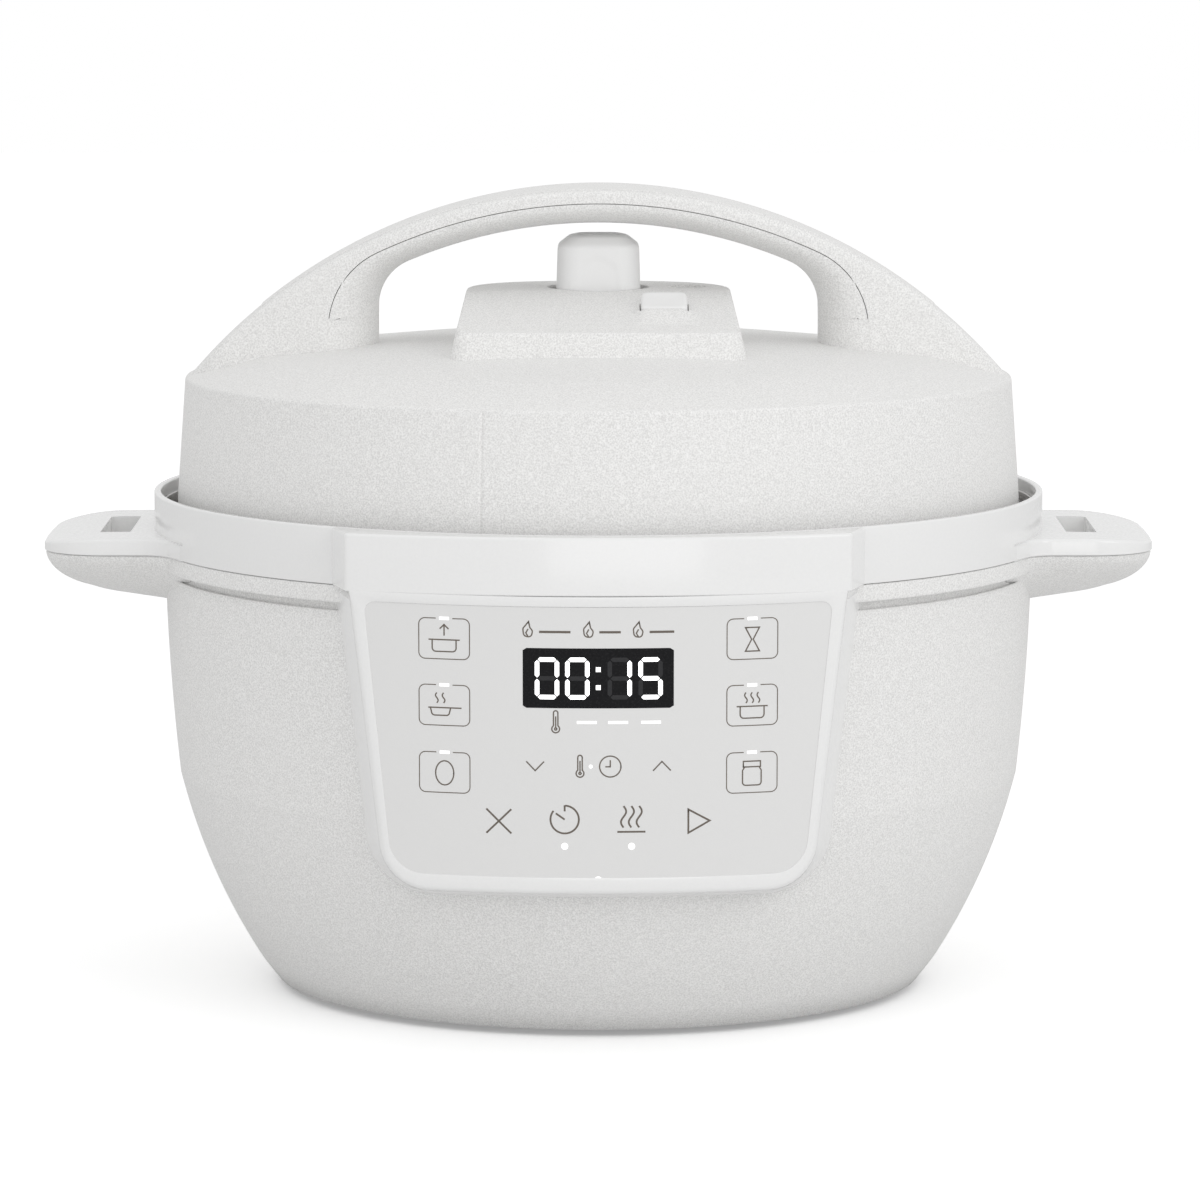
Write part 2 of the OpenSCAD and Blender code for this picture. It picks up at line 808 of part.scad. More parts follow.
module valve_platform() {
    color(matte_white) difference() {
        union() {
            difference() {
                deck_solid(0);
                difference() {
                    deck_solid(deck_wall);
                    cylinder(r = recess_r + 2, h = 400);
                }
                cylinder(r = recess_r + 2, h = recess_z - 2.5);
            }
            intersection() {
                at_pivot() for (s = [-1, 1]) translate([-5, s * 7 - 1.5, -5]) cube([7.4, 3, 24]);
                deck_solid(1);
            }
            intersection() {
                translate([button_x - 6, button_y - 12, spring_seat - 2]) {
                    cube([12, 2, 40]);
                    cube([12, 18, 2]);
                }
                deck_solid(1);
            }
        }
        lid_recess();
        translate([0, 0, recess_z]) cylinder(r = recess_r, h = 10);
        cylinder(r = stem_r + 0.8, h = 400);
        translate([float_x, float_y, deck_z - 1.2]) cylinder(r = 8, h = 10);
        translate([float_x, float_y, 270]) cylinder(r = 3.6, h = 30);
        translate([button_x - button_size[0] / 2 - 0.5, button_y - button_size[1] / 2 - 0.5, 270])
            cube([button_size[0] + 1, button_size[1] + 1, 30]);
        translate([button_x, -67, 293]) sphere(r = 17, $fn = 48);
        at_pivot() rotate([90, 0, 0]) cylinder(r = pin_r, h = 40, center = true);
    }
}

// The part of the lid that the platform stands on
module lid_recess() {
    difference() {
        lid_solid();
        translate([-47.9, -65.9, 200]) cube([95.8, 99.8, 80]);
    }
}

module steam_pipe() {
    color(steel) difference() {
        union() {
            translate([0, 0, dome_z - plate_t - 4]) cylinder(r = pipe_r - 0.05, h = 57);
            translate([0, 0, dome_z]) cylinder(r = 10, h = 3);
        }
        translate([0, 0, 200]) cylinder(r = 3, h = 100);
    }
}

module pipe_nut() {
    color(steel) translate([0, 0, dome_z - plate_t - 4]) difference() {
        cylinder(r = 10, h = 4, $fn = 6);
        translate([0, 0, -1]) cylinder(r = pipe_r, h = 6);
    }
}

module anti_block_shield() {
    color(steel) difference() {
        translate([0, 0, dome_z - plate_t - 13]) cylinder(r = 20, h = 13);
        translate([0, 0, dome_z - plate_t - 12]) cylinder(r = 19, h = 13);
        around(12, 20, 0) translate([-3, -1.8, dome_z - plate_t - 10]) cube([6, 3.6, 6]);
    }
}

module rounded_square(half, r) {
    offset(r = r) square(2 * (half - r), center = true);
}

module steam_release_knob() {
    slice = 0.05;
    color(gloss_white) difference() {
        union() {
            hull() {
                translate([0, 0, recess_z + 0.8]) linear_extrude(slice) rounded_square(knob_half, 9.6, $fn = 32);
                translate([0, 0, 303]) linear_extrude(slice) rounded_square(knob_half - 0.9, 9.6, $fn = 32);
                translate([0, 0, 308.5 - slice]) linear_extrude(slice) rounded_square(11, 6, $fn = 32);
            }
            translate([0, 0, pivot_z + 2.9]) cylinder(r = stem_r, h = 20);
        }
        translate([0, 0, 200]) cylinder(r = pipe_r + 0.4, h = 296 - 200);
    }
}

module quick_release_button() {
    low = 272.5;
    top = 288.8;
    color(gloss_white) {
        translate([button_x - button_size[0] / 2, button_y - button_size[1] / 2, low])
            cube([button_size[0], button_size[1], top - low - 3]);
        translate([button_x, button_y, top - 3]) hull() {
            linear_extrude(0.05) square(button_size, center = true);
            translate([0, 0, 2.95]) linear_extrude(0.05) square(button_size - [5, 5], center = true);
        }
        translate([button_x - 8, button_y - 9, low]) cube([16, 18, 2]);
        translate([button_x, button_y, low - 1.2]) cylinder(r = 3, h = 3, $fn = 48);
        translate([button_x, button_y, low - 1.2]) sphere(r = 3, $fn = 48);
    }
}

module lever_spring() {
    color(steel) translate([button_x, button_y, spring_seat]) coil(3.6, 0.5, pivot_z - lever_t / 2 - spring_seat, 5);
}

module release_lever() {
    color("white") at_pivot() difference() {
        union() {
            translate([-button_arm, -4, -lever_t / 2]) cube([button_arm + 4, 8, lever_t]);
            translate([-button_arm, 0, -lever_t / 2]) cylinder(r = 5, h = lever_t);
            rotate([90, 0, 0]) cylinder(r = 3.4, h = 8, center = true);
            translate([2, -5, -lever_t / 2]) cube([4, 10, lever_t]);
            translate([3, -10, -lever_t / 2]) cube([3, 20, lever_t]);
            for (s = [-1, 1]) translate([3, s * 8.5 - 1.5, -lever_t / 2]) cube([knob_arm, 3, lever_t]);
            for (s = [-1, 1]) translate([knob_arm, s * 8.5, 1.4]) rotate([90, 0, 0])
                cylinder(r = 1.2, h = 3, center = true, $fn = 32);
        }
        rotate([90, 0, 0]) cylinder(r = pin_r + fit, h = 40, center = true);
    }
}

module lever_pin() {
    color(steel) at_pivot() rotate([90, 0, 0]) cylinder(r = pin_r, h = 18, center = true);
}

module float_valve() {
    color("red") translate([float_x, float_y, 0]) {
        translate([0, 0, 229]) cylinder(r = 3, h = deck_z - 1.3 - 229);
        translate([0, 0, 229]) cylinder(r = 6, h = 2);
        translate([0, 0, dome_z + 0.2]) cylinder(r = 4.6, h = 2);
    }
}

module float_seal() {
    color(silicone) translate([float_x, float_y, 231]) difference() {
        cylinder(r = 5.6, h = 2.4);
        translate([0, 0, -1]) cylinder(r = 3, h = 6);
    }
}

outer_housing();
handle_collar();
top_ring();
rim_collar();
outer_pot();
heating_plate();
heating_element();
plate_supports();
thermal_fuse();
sensor_bracket();
sensor_spring();
temperature_sensor();
front_bezel();
panel_overlay();
display_module();
light_guides();
control_board();
board_screws();
ribbon_cable();
power_board();
board_parts();
mains_leads();
power_inlet();
inlet_pins();
base_plate();
base_screws();
rubber_feet();
inner_pot();
sealing_ring();
seal_rack();
lid_cover();
lid_plate();
lid_plate_screws();
handle_frame();
handle_grip();
handle_top_cover();
handle_screws();
valve_platform();
steam_pipe();
pipe_nut();
anti_block_shield();
steam_release_knob();
quick_release_button();
lever_spring();
release_lever();
lever_pin();
float_valve();
float_seal();
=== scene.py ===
"""Looks of a wide electric pressure cooker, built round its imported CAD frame.

Shapes are worked out in millimetres on the lid's axis and written to the meshes in metres.
The front faces -Y and Z = 0 is the worktop. Places and sizes come from the boxes of the frame's nodes.
"""
import json

import bmesh
import bpy
import numpy as np
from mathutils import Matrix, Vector


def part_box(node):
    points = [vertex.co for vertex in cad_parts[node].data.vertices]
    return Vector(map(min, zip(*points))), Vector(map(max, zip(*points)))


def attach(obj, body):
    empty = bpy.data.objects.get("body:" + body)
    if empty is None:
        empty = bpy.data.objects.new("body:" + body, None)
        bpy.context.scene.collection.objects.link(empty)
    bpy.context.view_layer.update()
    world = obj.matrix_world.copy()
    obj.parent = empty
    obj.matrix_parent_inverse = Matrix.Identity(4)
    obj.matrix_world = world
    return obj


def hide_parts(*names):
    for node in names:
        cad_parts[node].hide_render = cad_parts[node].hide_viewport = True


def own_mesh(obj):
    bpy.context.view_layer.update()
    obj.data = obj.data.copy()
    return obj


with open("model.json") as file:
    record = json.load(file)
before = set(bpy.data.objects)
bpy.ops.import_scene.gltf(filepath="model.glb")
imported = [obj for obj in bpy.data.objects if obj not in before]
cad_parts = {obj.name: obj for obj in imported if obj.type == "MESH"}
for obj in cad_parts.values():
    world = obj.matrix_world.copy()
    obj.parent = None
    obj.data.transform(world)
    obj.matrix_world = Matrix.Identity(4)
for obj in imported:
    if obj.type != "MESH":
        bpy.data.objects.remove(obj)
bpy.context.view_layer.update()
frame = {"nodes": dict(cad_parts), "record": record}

MM = 0.001
SHARP = np.radians(32)
ROLL = np.linspace(0, np.pi / 2, 6)


def box(node):
    """A node's lowest and highest corner in millimetres."""
    low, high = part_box(node)
    return np.array(low) / MM, np.array(high) / MM


# ---------- curves and meshes ----------

def rounded(points, radii, steps=6, closed=True):
    """A polygon with each corner replaced by an arc that is tangent to both of its sides."""
    points = np.array(points, float)
    radii = np.broadcast_to(radii, len(points))
    out = []
    for i, (corner, radius) in enumerate(zip(points, radii)):
        before, after = points[i - 1], points[(i + 1) % len(points)]
        end = not closed and i in (0, len(points) - 1)
        if end or radius <= 0:
            out.append(corner[None])
            continue
        a = (before - corner) / np.linalg.norm(before - corner)
        b = (after - corner) / np.linalg.norm(after - corner)
        half = np.arccos(np.clip(a @ b, -1, 1)) / 2
        centre = corner + (a + b) / np.linalg.norm(a + b) * radius / np.sin(half)
        start, stop = corner + a * radius / np.tan(half), corner + b * radius / np.tan(half)
        first = np.arctan2(*(start - centre)[::-1])
        turn = (np.arctan2(*(stop - centre)[::-1]) - first + np.pi) % (2 * np.pi) - np.pi
        angle = first + turn * np.linspace(0, 1, steps + 1)
        out.append(centre + radius * np.stack([np.cos(angle), np.sin(angle)], 1))
    return np.concatenate(out)


def bowed(start, stop, bow, count):
    """Points from start to stop, pushed out at right angles by bow * 4 t (1 - t)."""
    start, stop = np.array(start, float), np.array(stop, float)
    t = np.linspace(0, 1, count)[:, None]
    along = (stop - start) / np.linalg.norm(stop - start)
    return start + (stop - start) * t + np.array([along[1], -along[0]]) * bow * 4 * t * (1 - t)


def outward(outline):
    """Unit normals of a closed anticlockwise outline, from the chord between each point's neighbours."""
    chord = np.roll(outline, -1, 0) - np.roll(outline, 1, 0)
    normal = np.stack([chord[:, 1], -chord[:, 0]], 1)
    return normal / np.linalg.norm(normal, axis=1, keepdims=True)


def rolled_edge(plan, inward, edge, top):
    """Rows of (plan, height) that draw an outline in on a quarter circle while they rise to top."""
    return [(plan + inward * edge * (1 - np.cos(a)), top - edge + edge * np.sin(a)) for a in ROLL]


def grid_faces(rows, columns, wrap_rows=False, wrap_columns=False):
    """Quads of a grid whose points are numbered row by row."""
    i = np.arange(rows if wrap_rows else rows - 1)[:, None]
    j = np.arange(columns if wrap_columns else columns - 1)[None]
    i2, j2 = (i + 1) % rows, (j + 1) % columns
    corners = [i * columns + j, i * columns + j2, i2 * columns + j2, i2 * columns + j]
    return np.stack(corners, -1).reshape(-1, 4)


def piece(name, points, faces, sharp=SHARP, weld=1e-6):
    """A new object from points in millimetres: doubles merged, faces outwards, smooth but for sharp edges."""
    mesh = bpy.data.meshes.new(name)
    mesh.from_pydata((np.asarray(points).reshape(-1, 3) * MM).tolist(), [], [tuple(f) for f in faces])
    work = bmesh.new()
    work.from_mesh(mesh)
    bmesh.ops.remove_doubles(work, verts=work.verts, dist=weld)
    bmesh.ops.dissolve_degenerate(work, edges=work.edges, dist=weld)
    bmesh.ops.recalc_face_normals(work, faces=work.faces)
    work.to_mesh(mesh)
    work.free()
    mesh.shade_smooth()
    mesh.set_sharp_from_angle(angle=sharp)
    made = bpy.data.objects.new(name, mesh)
    bpy.context.scene.collection.objects.link(made)
    return made


def sheet_grid(name, points, wrap_rows=False, wrap_columns=False, caps=False, **how):
    """A surface over a grid of points; caps closes its first and last row with one face each."""
    rows, columns = points.shape[:2]
    faces = grid_faces(rows, columns, wrap_rows, wrap_columns).tolist()
    if caps:
        faces += [list(range(columns)), list(range((rows - 1) * columns, rows * columns))]
    return piece(name, points, faces, **how)


def turned(name, profile, count=240, **how):
    """A closed profile of (radius, height) turned about the lid's axis."""
    angle = np.linspace(0, 2 * np.pi, count, endpoint=False)[:, None]
    radius, height = profile[:, 0][None], profile[:, 1][None]
    points = np.stack([radius * np.cos(angle), radius * np.sin(angle), height + 0 * angle], -1)
    return sheet_grid(name, points, wrap_rows=True, wrap_columns=True, **how)


def loft(name, sections, **how):
    """A closed skin over plan outlines, each an (outline, height) pair, with its two ends capped."""
    points = np.stack([np.column_stack([outline, np.full(len(outline), height)])
                       for outline, height in sections])
    return sheet_grid(name, points, wrap_columns=True, caps=True, **how)


def rounded_rectangle(half_x, half_y, radius, steps=6, centre=(0, 0)):
    """Plan outline of a rectangle with round corners."""
    x, y = centre
    corners = [(x + half_x, y - half_y), (x + half_x, y + half_y), (x - half_x, y + half_y),
               (x - half_x, y - half_y)]
    return rounded(corners, radius, steps)


def cut(target, cutter):
    """Takes the cutter's volume out of the target and applies it."""
    change = target.modifiers.new("cut", "BOOLEAN")
    change.operation, change.solver, change.object = "DIFFERENCE", "EXACT", cutter
    settle(target)
    bpy.data.objects.remove(cutter)


def settle(target):
    """Applies a piece's modifiers to its mesh."""
    depsgraph = bpy.context.evaluated_depsgraph_get()
    mesh = bpy.data.meshes.new_from_object(target.evaluated_get(depsgraph))
    target.modifiers.clear()
    target.data = mesh
    mesh.shade_smooth()
    mesh.set_sharp_from_angle(angle=SHARP)


def mirrored(target, name):
    """A copy of a piece on the other side of the plane X = 0."""
    mesh = target.data.copy()
    copy = bpy.data.objects.new(name, mesh)
    bpy.context.scene.collection.objects.link(copy)
    work = bmesh.new()
    work.from_mesh(mesh)
    for vertex in work.verts:
        vertex.co.x = -vertex.co.x
    bmesh.ops.recalc_face_normals(work, faces=work.faces)
    work.to_mesh(mesh)
    work.free()
    return copy


# ---------- shader maths ----------

class Socket:
    """A shader socket; arithmetic on it adds Math nodes."""

    def __init__(self, shader, socket):
        self.shader, self.socket = shader, socket

    def maths(self, operation, *values):
        """The result of a Math node."""
        return self.shader.add("ShaderNodeMath", {"operation": operation}, dict(enumerate(values)))

    def __mul__(self, other):
        return self.maths("MULTIPLY", self, other)

    __rmul__ = __mul__

    def part(self, name):
        """Another output of the same node."""
        return Socket(self.shader, self.socket.node.outputs[name])


class Shader:
    """One procedural material on a Principled surface."""

    def __init__(self, name, colour, roughness, **constants):
        self.material = bpy.data.materials.new(name)
        self.material.use_nodes = True
        self.nodes, self.links = self.material.node_tree.nodes, self.material.node_tree.links
        self.surface = self.nodes["Principled BSDF"]
        self.material.diffuse_color = (*colour, 1)
        self.set(Base_Color=(*colour, 1), Roughness=roughness, **constants)

    def add(self, kind, settings=None, inputs=None):
        """A node with its settings made first and then its sockets; returns its first output."""
        node = self.nodes.new(kind)
        for key, value in (settings or {}).items():
            if key == "stops":
                for stop, (place, colour) in zip([*node.color_ramp.elements], value):
                    stop.position, stop.color = place, (*colour, 1)
            else:
                setattr(node, key, value)
        for key, value in (inputs or {}).items():
            self.join(node.inputs[key], value)
        return Socket(self, next(s for s in node.outputs if s.enabled))

    def join(self, socket, value):
        """Links a socket to another one, or sets its value."""
        if isinstance(value, Socket):
            self.links.new(value.socket, socket)
        else:
            socket.default_value = value

    def set(self, **inputs):
        """Feeds the surface's own sockets, named with underscores for spaces."""
        for key, value in inputs.items():
            self.join(self.surface.inputs[key.replace("_", " ")], value)
        return self

    def place(self, scale=(1, 1, 1)):
        """Object coordinates in metres, stretched by scale."""
        where = self.add("ShaderNodeTexCoord").part("Object")
        return self.add("ShaderNodeMapping", None, {"Vector": where, "Scale": scale})

    def noise(self, size, detail=2.0, scale=(1, 1, 1), rough=0.5):
        """Noise from 0 to 1 whose spots are about size millimetres wide."""
        return self.add("ShaderNodeTexNoise", None, {
            "Vector": self.place(scale), "Scale": 1 / (size * MM), "Detail": detail, "Roughness": rough})

    def ramp(self, value, low, high, to_low=0.0, to_high=1.0):
        """Value taken from the range low..high to the range to_low..to_high, and held inside it."""
        return self.add("ShaderNodeMapRange", None, {
            "Value": value, "From Min": low, "From Max": high, "To Min": to_low, "To Max": to_high})

    def mix(self, factor, first, second):
        """A colour between first and second."""
        node = self.nodes.new("ShaderNodeMix")
        node.data_type = "RGBA"
        for index, value in ((0, factor), (6, first), (7, second)):
            self.join(node.inputs[index], value if isinstance(value, Socket) or index == 0 else (*value, 1))
        return Socket(self, node.outputs[2])

    def bump(self, height, depth):
        """A normal from a height of 0 to 1 that stands for depth millimetres."""
        self.set(Normal=self.add("ShaderNodeBump", None, {
            "Height": height, "Distance": depth * MM, "Strength": 1.0}))
        return self


def matte_plastic():
    """Off-white moulding with a spark-eroded grain: two sizes of fine noise as bump, roughness and tint."""
    made = Shader("matte_white_plastic", (0.83, 0.827, 0.818), 0.55)
    grain = made.noise(0.62, 2.0, rough=0.6)
    cloud = made.noise(60.0, 2.0)
    speck = made.ramp(grain, 0.35, 0.65)
    tint = made.mix(speck, (0.70, 0.697, 0.688), (0.945, 0.942, 0.933))
    made.set(Base_Color=made.mix(made.ramp(cloud, 0.3, 0.7, 0.0, 0.2), tint, (0.84, 0.836, 0.825)))
    made.set(Roughness=made.ramp(grain, 0.3, 0.7, 0.5, 0.66), Specular_IOR_Level=0.4)
    return made.bump(grain, 0.12)


def gloss_plastic():
    """Polished white moulding: a faint orange-peel ripple under a clear coat, and fine dust in roughness."""
    made = Shader("gloss_white_plastic", (0.85, 0.85, 0.847), 0.2, Coat_Weight=0.35, Coat_Roughness=0.06)
    peel = made.noise(9.0, 1.0)
    dust = made.noise(1.1, 3.0)
    made.set(Base_Color=made.mix(made.ramp(dust, 0.3, 0.7), (0.842, 0.842, 0.839), (0.858, 0.858, 0.855)))
    made.set(Roughness=made.ramp(dust, 0.35, 0.75, 0.16, 0.26))
    return made.bump(peel, 0.02)


def satin_plastic():
    """Smooth satin moulding of the small moving pieces: a very fine, shallow grain."""
    made = Shader("satin_white_plastic", (0.86, 0.86, 0.857), 0.42, Specular_IOR_Level=0.35)
    fine = made.noise(0.4, 2.0)
    made.set(Base_Color=made.mix(made.ramp(fine, 0.3, 0.7), (0.852, 0.852, 0.849), (0.868, 0.868, 0.865)))
    made.set(Roughness=made.ramp(fine, 0.3, 0.7, 0.38, 0.47))
    return made.bump(fine, 0.01)


def panel_glass():
    """Printed panel: pale grey ink seen through a clear gloss."""
    made = Shader("panel_grey_gloss", (0.77, 0.768, 0.763), 0.14, Coat_Weight=0.6, Coat_Roughness=0.03)
    ink = made.noise(0.5, 2.0)
    made.set(Base_Color=made.mix(made.ramp(ink, 0.3, 0.7), (0.765, 0.763, 0.758), (0.777, 0.775, 0.77)))
    made.set(Roughness=made.ramp(made.noise(14.0, 2.0), 0.3, 0.7, 0.11, 0.17))
    return made


def brushed_steel(name, colour, roughness, spread=0.16):
    """Steel turned on a lathe: noise drawn out along the wall's height into fine rings."""
    made = Shader(name, colour, roughness, Metallic=1.0)
    rings = made.noise(14.0, 4.0, scale=(1, 1, 40), rough=0.7)
    stain = made.noise(35.0, 3.0)
    darker = tuple(0.82 * c for c in colour)
    made.set(Base_Color=made.mix(made.ramp(stain, 0.35, 0.7), colour, darker))
    made.set(Roughness=made.ramp(rings, 0.3, 0.7, roughness - spread / 2, roughness + spread))
    return made.bump(rings, 0.012)


def moulded(name, colour, roughness, grain=0.9, depth=0.04, **constants):
    """Plain moulded plastic, rubber or ceramic: a fine grain in tint, roughness and height."""
    made = Shader(name, colour, roughness, **constants)
    noise = made.noise(grain, 3.0)
    light = tuple(min(1.0, 1.12 * c + 0.004) for c in colour)
    made.set(Base_Color=made.mix(made.ramp(noise, 0.3, 0.7), colour, light))
    made.set(Roughness=made.ramp(noise, 0.3, 0.7, roughness, min(1.0, roughness + 0.1)))
    return made.bump(noise, depth)


def circuit_board():
    """Green board: soldered pads on a grid over darker and lighter lacquer."""
    made = Shader("board_green", (0.03, 0.16, 0.08), 0.35)
    lacquer = made.noise(4.0, 2.0)
    pads = made.add("ShaderNodeTexVoronoi", {"feature": "F1"}, {"Vector": made.place(), "Scale": 260.0})
    spot = made.ramp(pads, 0.14, 0.2, 1.0, 0.0)
    green = made.mix(lacquer, (0.02, 0.12, 0.06), (0.04, 0.19, 0.10))
    made.set(Base_Color=made.mix(spot, green, (0.55, 0.55, 0.5)), Metallic=spot * 0.8)
    return made


def lit(name, colour, strength):
    """A light source behind the panel, a little uneven like a diffused diode."""
    made = Shader(name, colour, 0.4, Emission_Strength=strength)
    glow = made.noise(3.0, 1.0)
    made.set(Emission_Color=made.mix(made.ramp(glow, 0.3, 0.7), colour, tuple(0.93 * c for c in colour)))
    return made


MATTE = matte_plastic().material
GLOSS = gloss_plastic().material
SATIN = satin_plastic().material
PANEL = panel_glass().material
STEEL = brushed_steel("brushed_steel", (0.62, 0.61, 0.60), 0.28).material
DARK_STEEL = brushed_steel("dark_steel", (0.30, 0.295, 0.285), 0.36).material
ALUMINIUM = brushed_steel("cast_aluminium", (0.70, 0.70, 0.71), 0.42).material
BOARD = circuit_board().material
BLACK = moulded("black_plastic", (0.018, 0.018, 0.018), 0.45).material
SCREEN = moulded("display_black", (0.006, 0.006, 0.007), 0.2, depth=0.0, Specular_IOR_Level=0.14).material
GHOST = moulded("display_unlit", (0.03, 0.03, 0.032), 0.3, depth=0.0, Specular_IOR_Level=0.14).material
CABLE = moulded("grey_cable", (0.42, 0.42, 0.43), 0.5).material
RUBBER = moulded("rubber", (0.03, 0.03, 0.03), 0.75, depth=0.08).material
SILICONE = moulded("silicone", (0.78, 0.78, 0.74), 0.5, Subsurface_Weight=0.2).material
BRASS = brushed_steel("brass", (0.74, 0.55, 0.25), 0.3).material
CERAMIC = moulded("ceramic", (0.78, 0.75, 0.68), 0.6).material
RED = moulded("float_red", (0.42, 0.02, 0.02), 0.3, depth=0.01).material
NYLON = moulded("nylon", (0.72, 0.72, 0.70), 0.45).material
INK = moulded("panel_ink", (0.13, 0.108, 0.088), 0.5, depth=0.0).material
WHITE_INK = lit("white_light", (0.9, 0.9, 0.9), 0.55).material
DIGIT = lit("digit_light", (1.0, 1.0, 1.0), 1.3).material

SLOTS = {"matte_white": MATTE, "gloss_white": GLOSS, "panel_glass": PANEL, "display_black": SCREEN,
         "light_guide": NYLON, "steel_bright": STEEL, "steel_dark": DARK_STEEL, "aluminium": ALUMINIUM,
         "board_green": BOARD, "black_plastic": BLACK, "grey_cable": CABLE, "rubber_grey": RUBBER,
         "silicone": SILICONE, "brass": BRASS, "ceramic": CERAMIC, "float_red": RED}


def finish_frame():
    """Gives every node of the frame the finish of its slot."""
    slot_of = {part["node"]: part["material_slot"] for part in frame["record"]["subparts"]}
    for node, shown in frame["nodes"].items():
        for holder in shown.material_slots:
            holder.material = SLOTS[slot_of[node]]


def fit(made, material, body, slot, *nodes):
    """Gives a piece its material and body, and hides the frame's nodes that it stands for."""
    made.data.materials.clear()
    made.data.materials.append(material)
    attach(made, body)
    if nodes:
        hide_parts(*nodes)
    return made


# ---------- measures from the frame ----------

HOUSING_LOW, HOUSING_HIGH = box("outer_housing")
RING_LOW, RING_HIGH = box("top_ring")
COLLAR_LOW = box("handle_collar")[0]
LID_LOW, LID_HIGH = box("lid_cover")
FRAME_HIGH = box("handle_frame")[1]
KNOB_LOW, KNOB_HIGH = box("steam_release_knob")
BUTTON_LOW, BUTTON_HIGH = box("quick_release_button")
FLOAT_LOW, FLOAT_HIGH = box("float_valve")
DECK_LOW, DECK_HIGH = box("valve_platform")
INLET_LOW, INLET_HIGH = box("power_inlet")
POT_LOW, POT_HIGH = box("inner_pot")
SEAL_LOW, SEAL_HIGH = box("sealing_ring")
PLATE_LOW, PLATE_HIGH = box("lid_plate")
WELL_LOW, WELL_HIGH = box("outer_pot")
RIM_LOW, RIM_HIGH = box("rim_collar")

BODY_R = HOUSING_HIGH[0]
BODY_TOP = HOUSING_HIGH[2]
RING_R = BODY_R + 4.4
BAND_R = BODY_R + 4
SEAM_Z = BODY_TOP + 10.6
REACH = RING_HIGH[0]
GRIP_HALF = 55
CAP_TOP = SEAM_Z + 7


# ---------- housing ----------

def housing_profile():
    """Outer (radius, height) points: sole, chin, bowed bowl up to the crease, then a slightly bowed wall."""
    bowl = bowed((BODY_R - 38, 12), (BODY_R - 5.7, 87.4), 3.4, 40)
    wall = bowed((BODY_R - 5.5, 88), (BODY_R, BODY_TOP - 1), 0.9, 24)
    foot = np.array([[BODY_R - 46, HOUSING_LOW[2]], [BODY_R - 45, HOUSING_LOW[2] + 0.4],
                     [BODY_R - 38.4, 11.4]])
    return np.concatenate([foot, bowl, wall, [[BODY_R - 0.4, BODY_TOP - 0.2], [BODY_R - 1, BODY_TOP]]])


def make_housing():
    """The bowl as a grid of columns round the axis; the columns at the rear keep to the socket's width."""
    profile = housing_profile()
    low, high = INLET_LOW - 0.4, INLET_HIGH + 0.4
    heights = np.unique(np.concatenate([profile[:, 1], [low[2], high[2]]]))
    radii = np.interp(heights, profile[:, 1], profile[:, 0])
    columns, slit = 240, 9
    across = np.linspace(high[0], low[0], slit)[None] / radii[:, None]
    rear = np.arccos(across)
    t = np.linspace(0, 1, columns)[None, 1:-1]
    rest = rear[:, -1:] + (2 * np.pi - (rear[:, -1:] - rear[:, :1])) * t
    angle = np.concatenate([rear, rest], 1)
    points = np.stack([radii[:, None] * np.cos(angle), radii[:, None] * np.sin(angle),
                       heights[:, None] + 0 * angle], -1)
    faces = grid_faces(len(heights), angle.shape[1], wrap_columns=True).reshape(len(heights) - 1, -1, 4)
    middle = (heights[1:] + heights[:-1]) / 2
    inside = (middle > low[2]) & (middle < high[2])
    keep = np.ones(faces.shape[:2], bool)
    keep[inside, :slit - 1] = False
    made = piece("housing_shell", points, faces[keep], weld=1e-7)
    wall = made.modifiers.new("wall", "SOLIDIFY")
    wall.thickness, wall.offset = 3 * MM, -1
    settle(made)
    fit(made, MATTE, "base", "matte_white", "outer_housing")


def grip_outline(shrink=0.0, root=166.0):
    """Plan of a side handle, tip towards +X: round tip corners and a hollow flare where it meets the ring."""
    half, tip = GRIP_HALF - shrink, REACH - shrink
    flare, corner = 12, 26 - shrink
    corners = [(root, -half - 20), (root + 10.5, -half), (tip - 2.6, -half), (tip + 1.84, 0),
               (tip - 2.6, half), (root + 10.5, half), (root, half + 20)]
    outline = rounded(corners, [0, flare, corner, 120, corner, flare, 0], 10)
    outline[:, 0] = np.minimum(outline[:, 0], tip)
    return outline


def droop(x):
    """How far a cap's top falls away towards the handle's tip."""
    return 3.2 * np.clip((x - (REACH - 30)) / 30, 0, 1) ** 2


def make_cap():
    """Glossy cap of a side handle: its edge rolls over to a flat top that droops at the tip."""
    base, edge = SEAM_Z + 0.12, 1.5
    rim = grip_outline()
    spine = np.stack([np.clip(rim[:, 0], 168, REACH - 32), np.clip(rim[:, 1], -20, 20)], 1)
    inward = -outward(rim)
    rows = [(rim + inward * 0.5, 0.0), (rim, 0.4), *rolled_edge(rim, inward, edge, CAP_TOP - base)]
    top = rows[-1]
    rows += [(top[0] + (spine - top[0]) * t, top[1]) for t in (0.15, 0.4, 0.7, 1.0)]
    points = []
    for plan, rise in rows:
        share = np.clip(rise / (CAP_TOP - base), 0, 1)
        points.append(np.column_stack([plan, base + rise - droop(plan[:, 0]) * share]))
    return sheet_grid("handle_cap_right", np.stack(points), wrap_columns=True, caps=True)


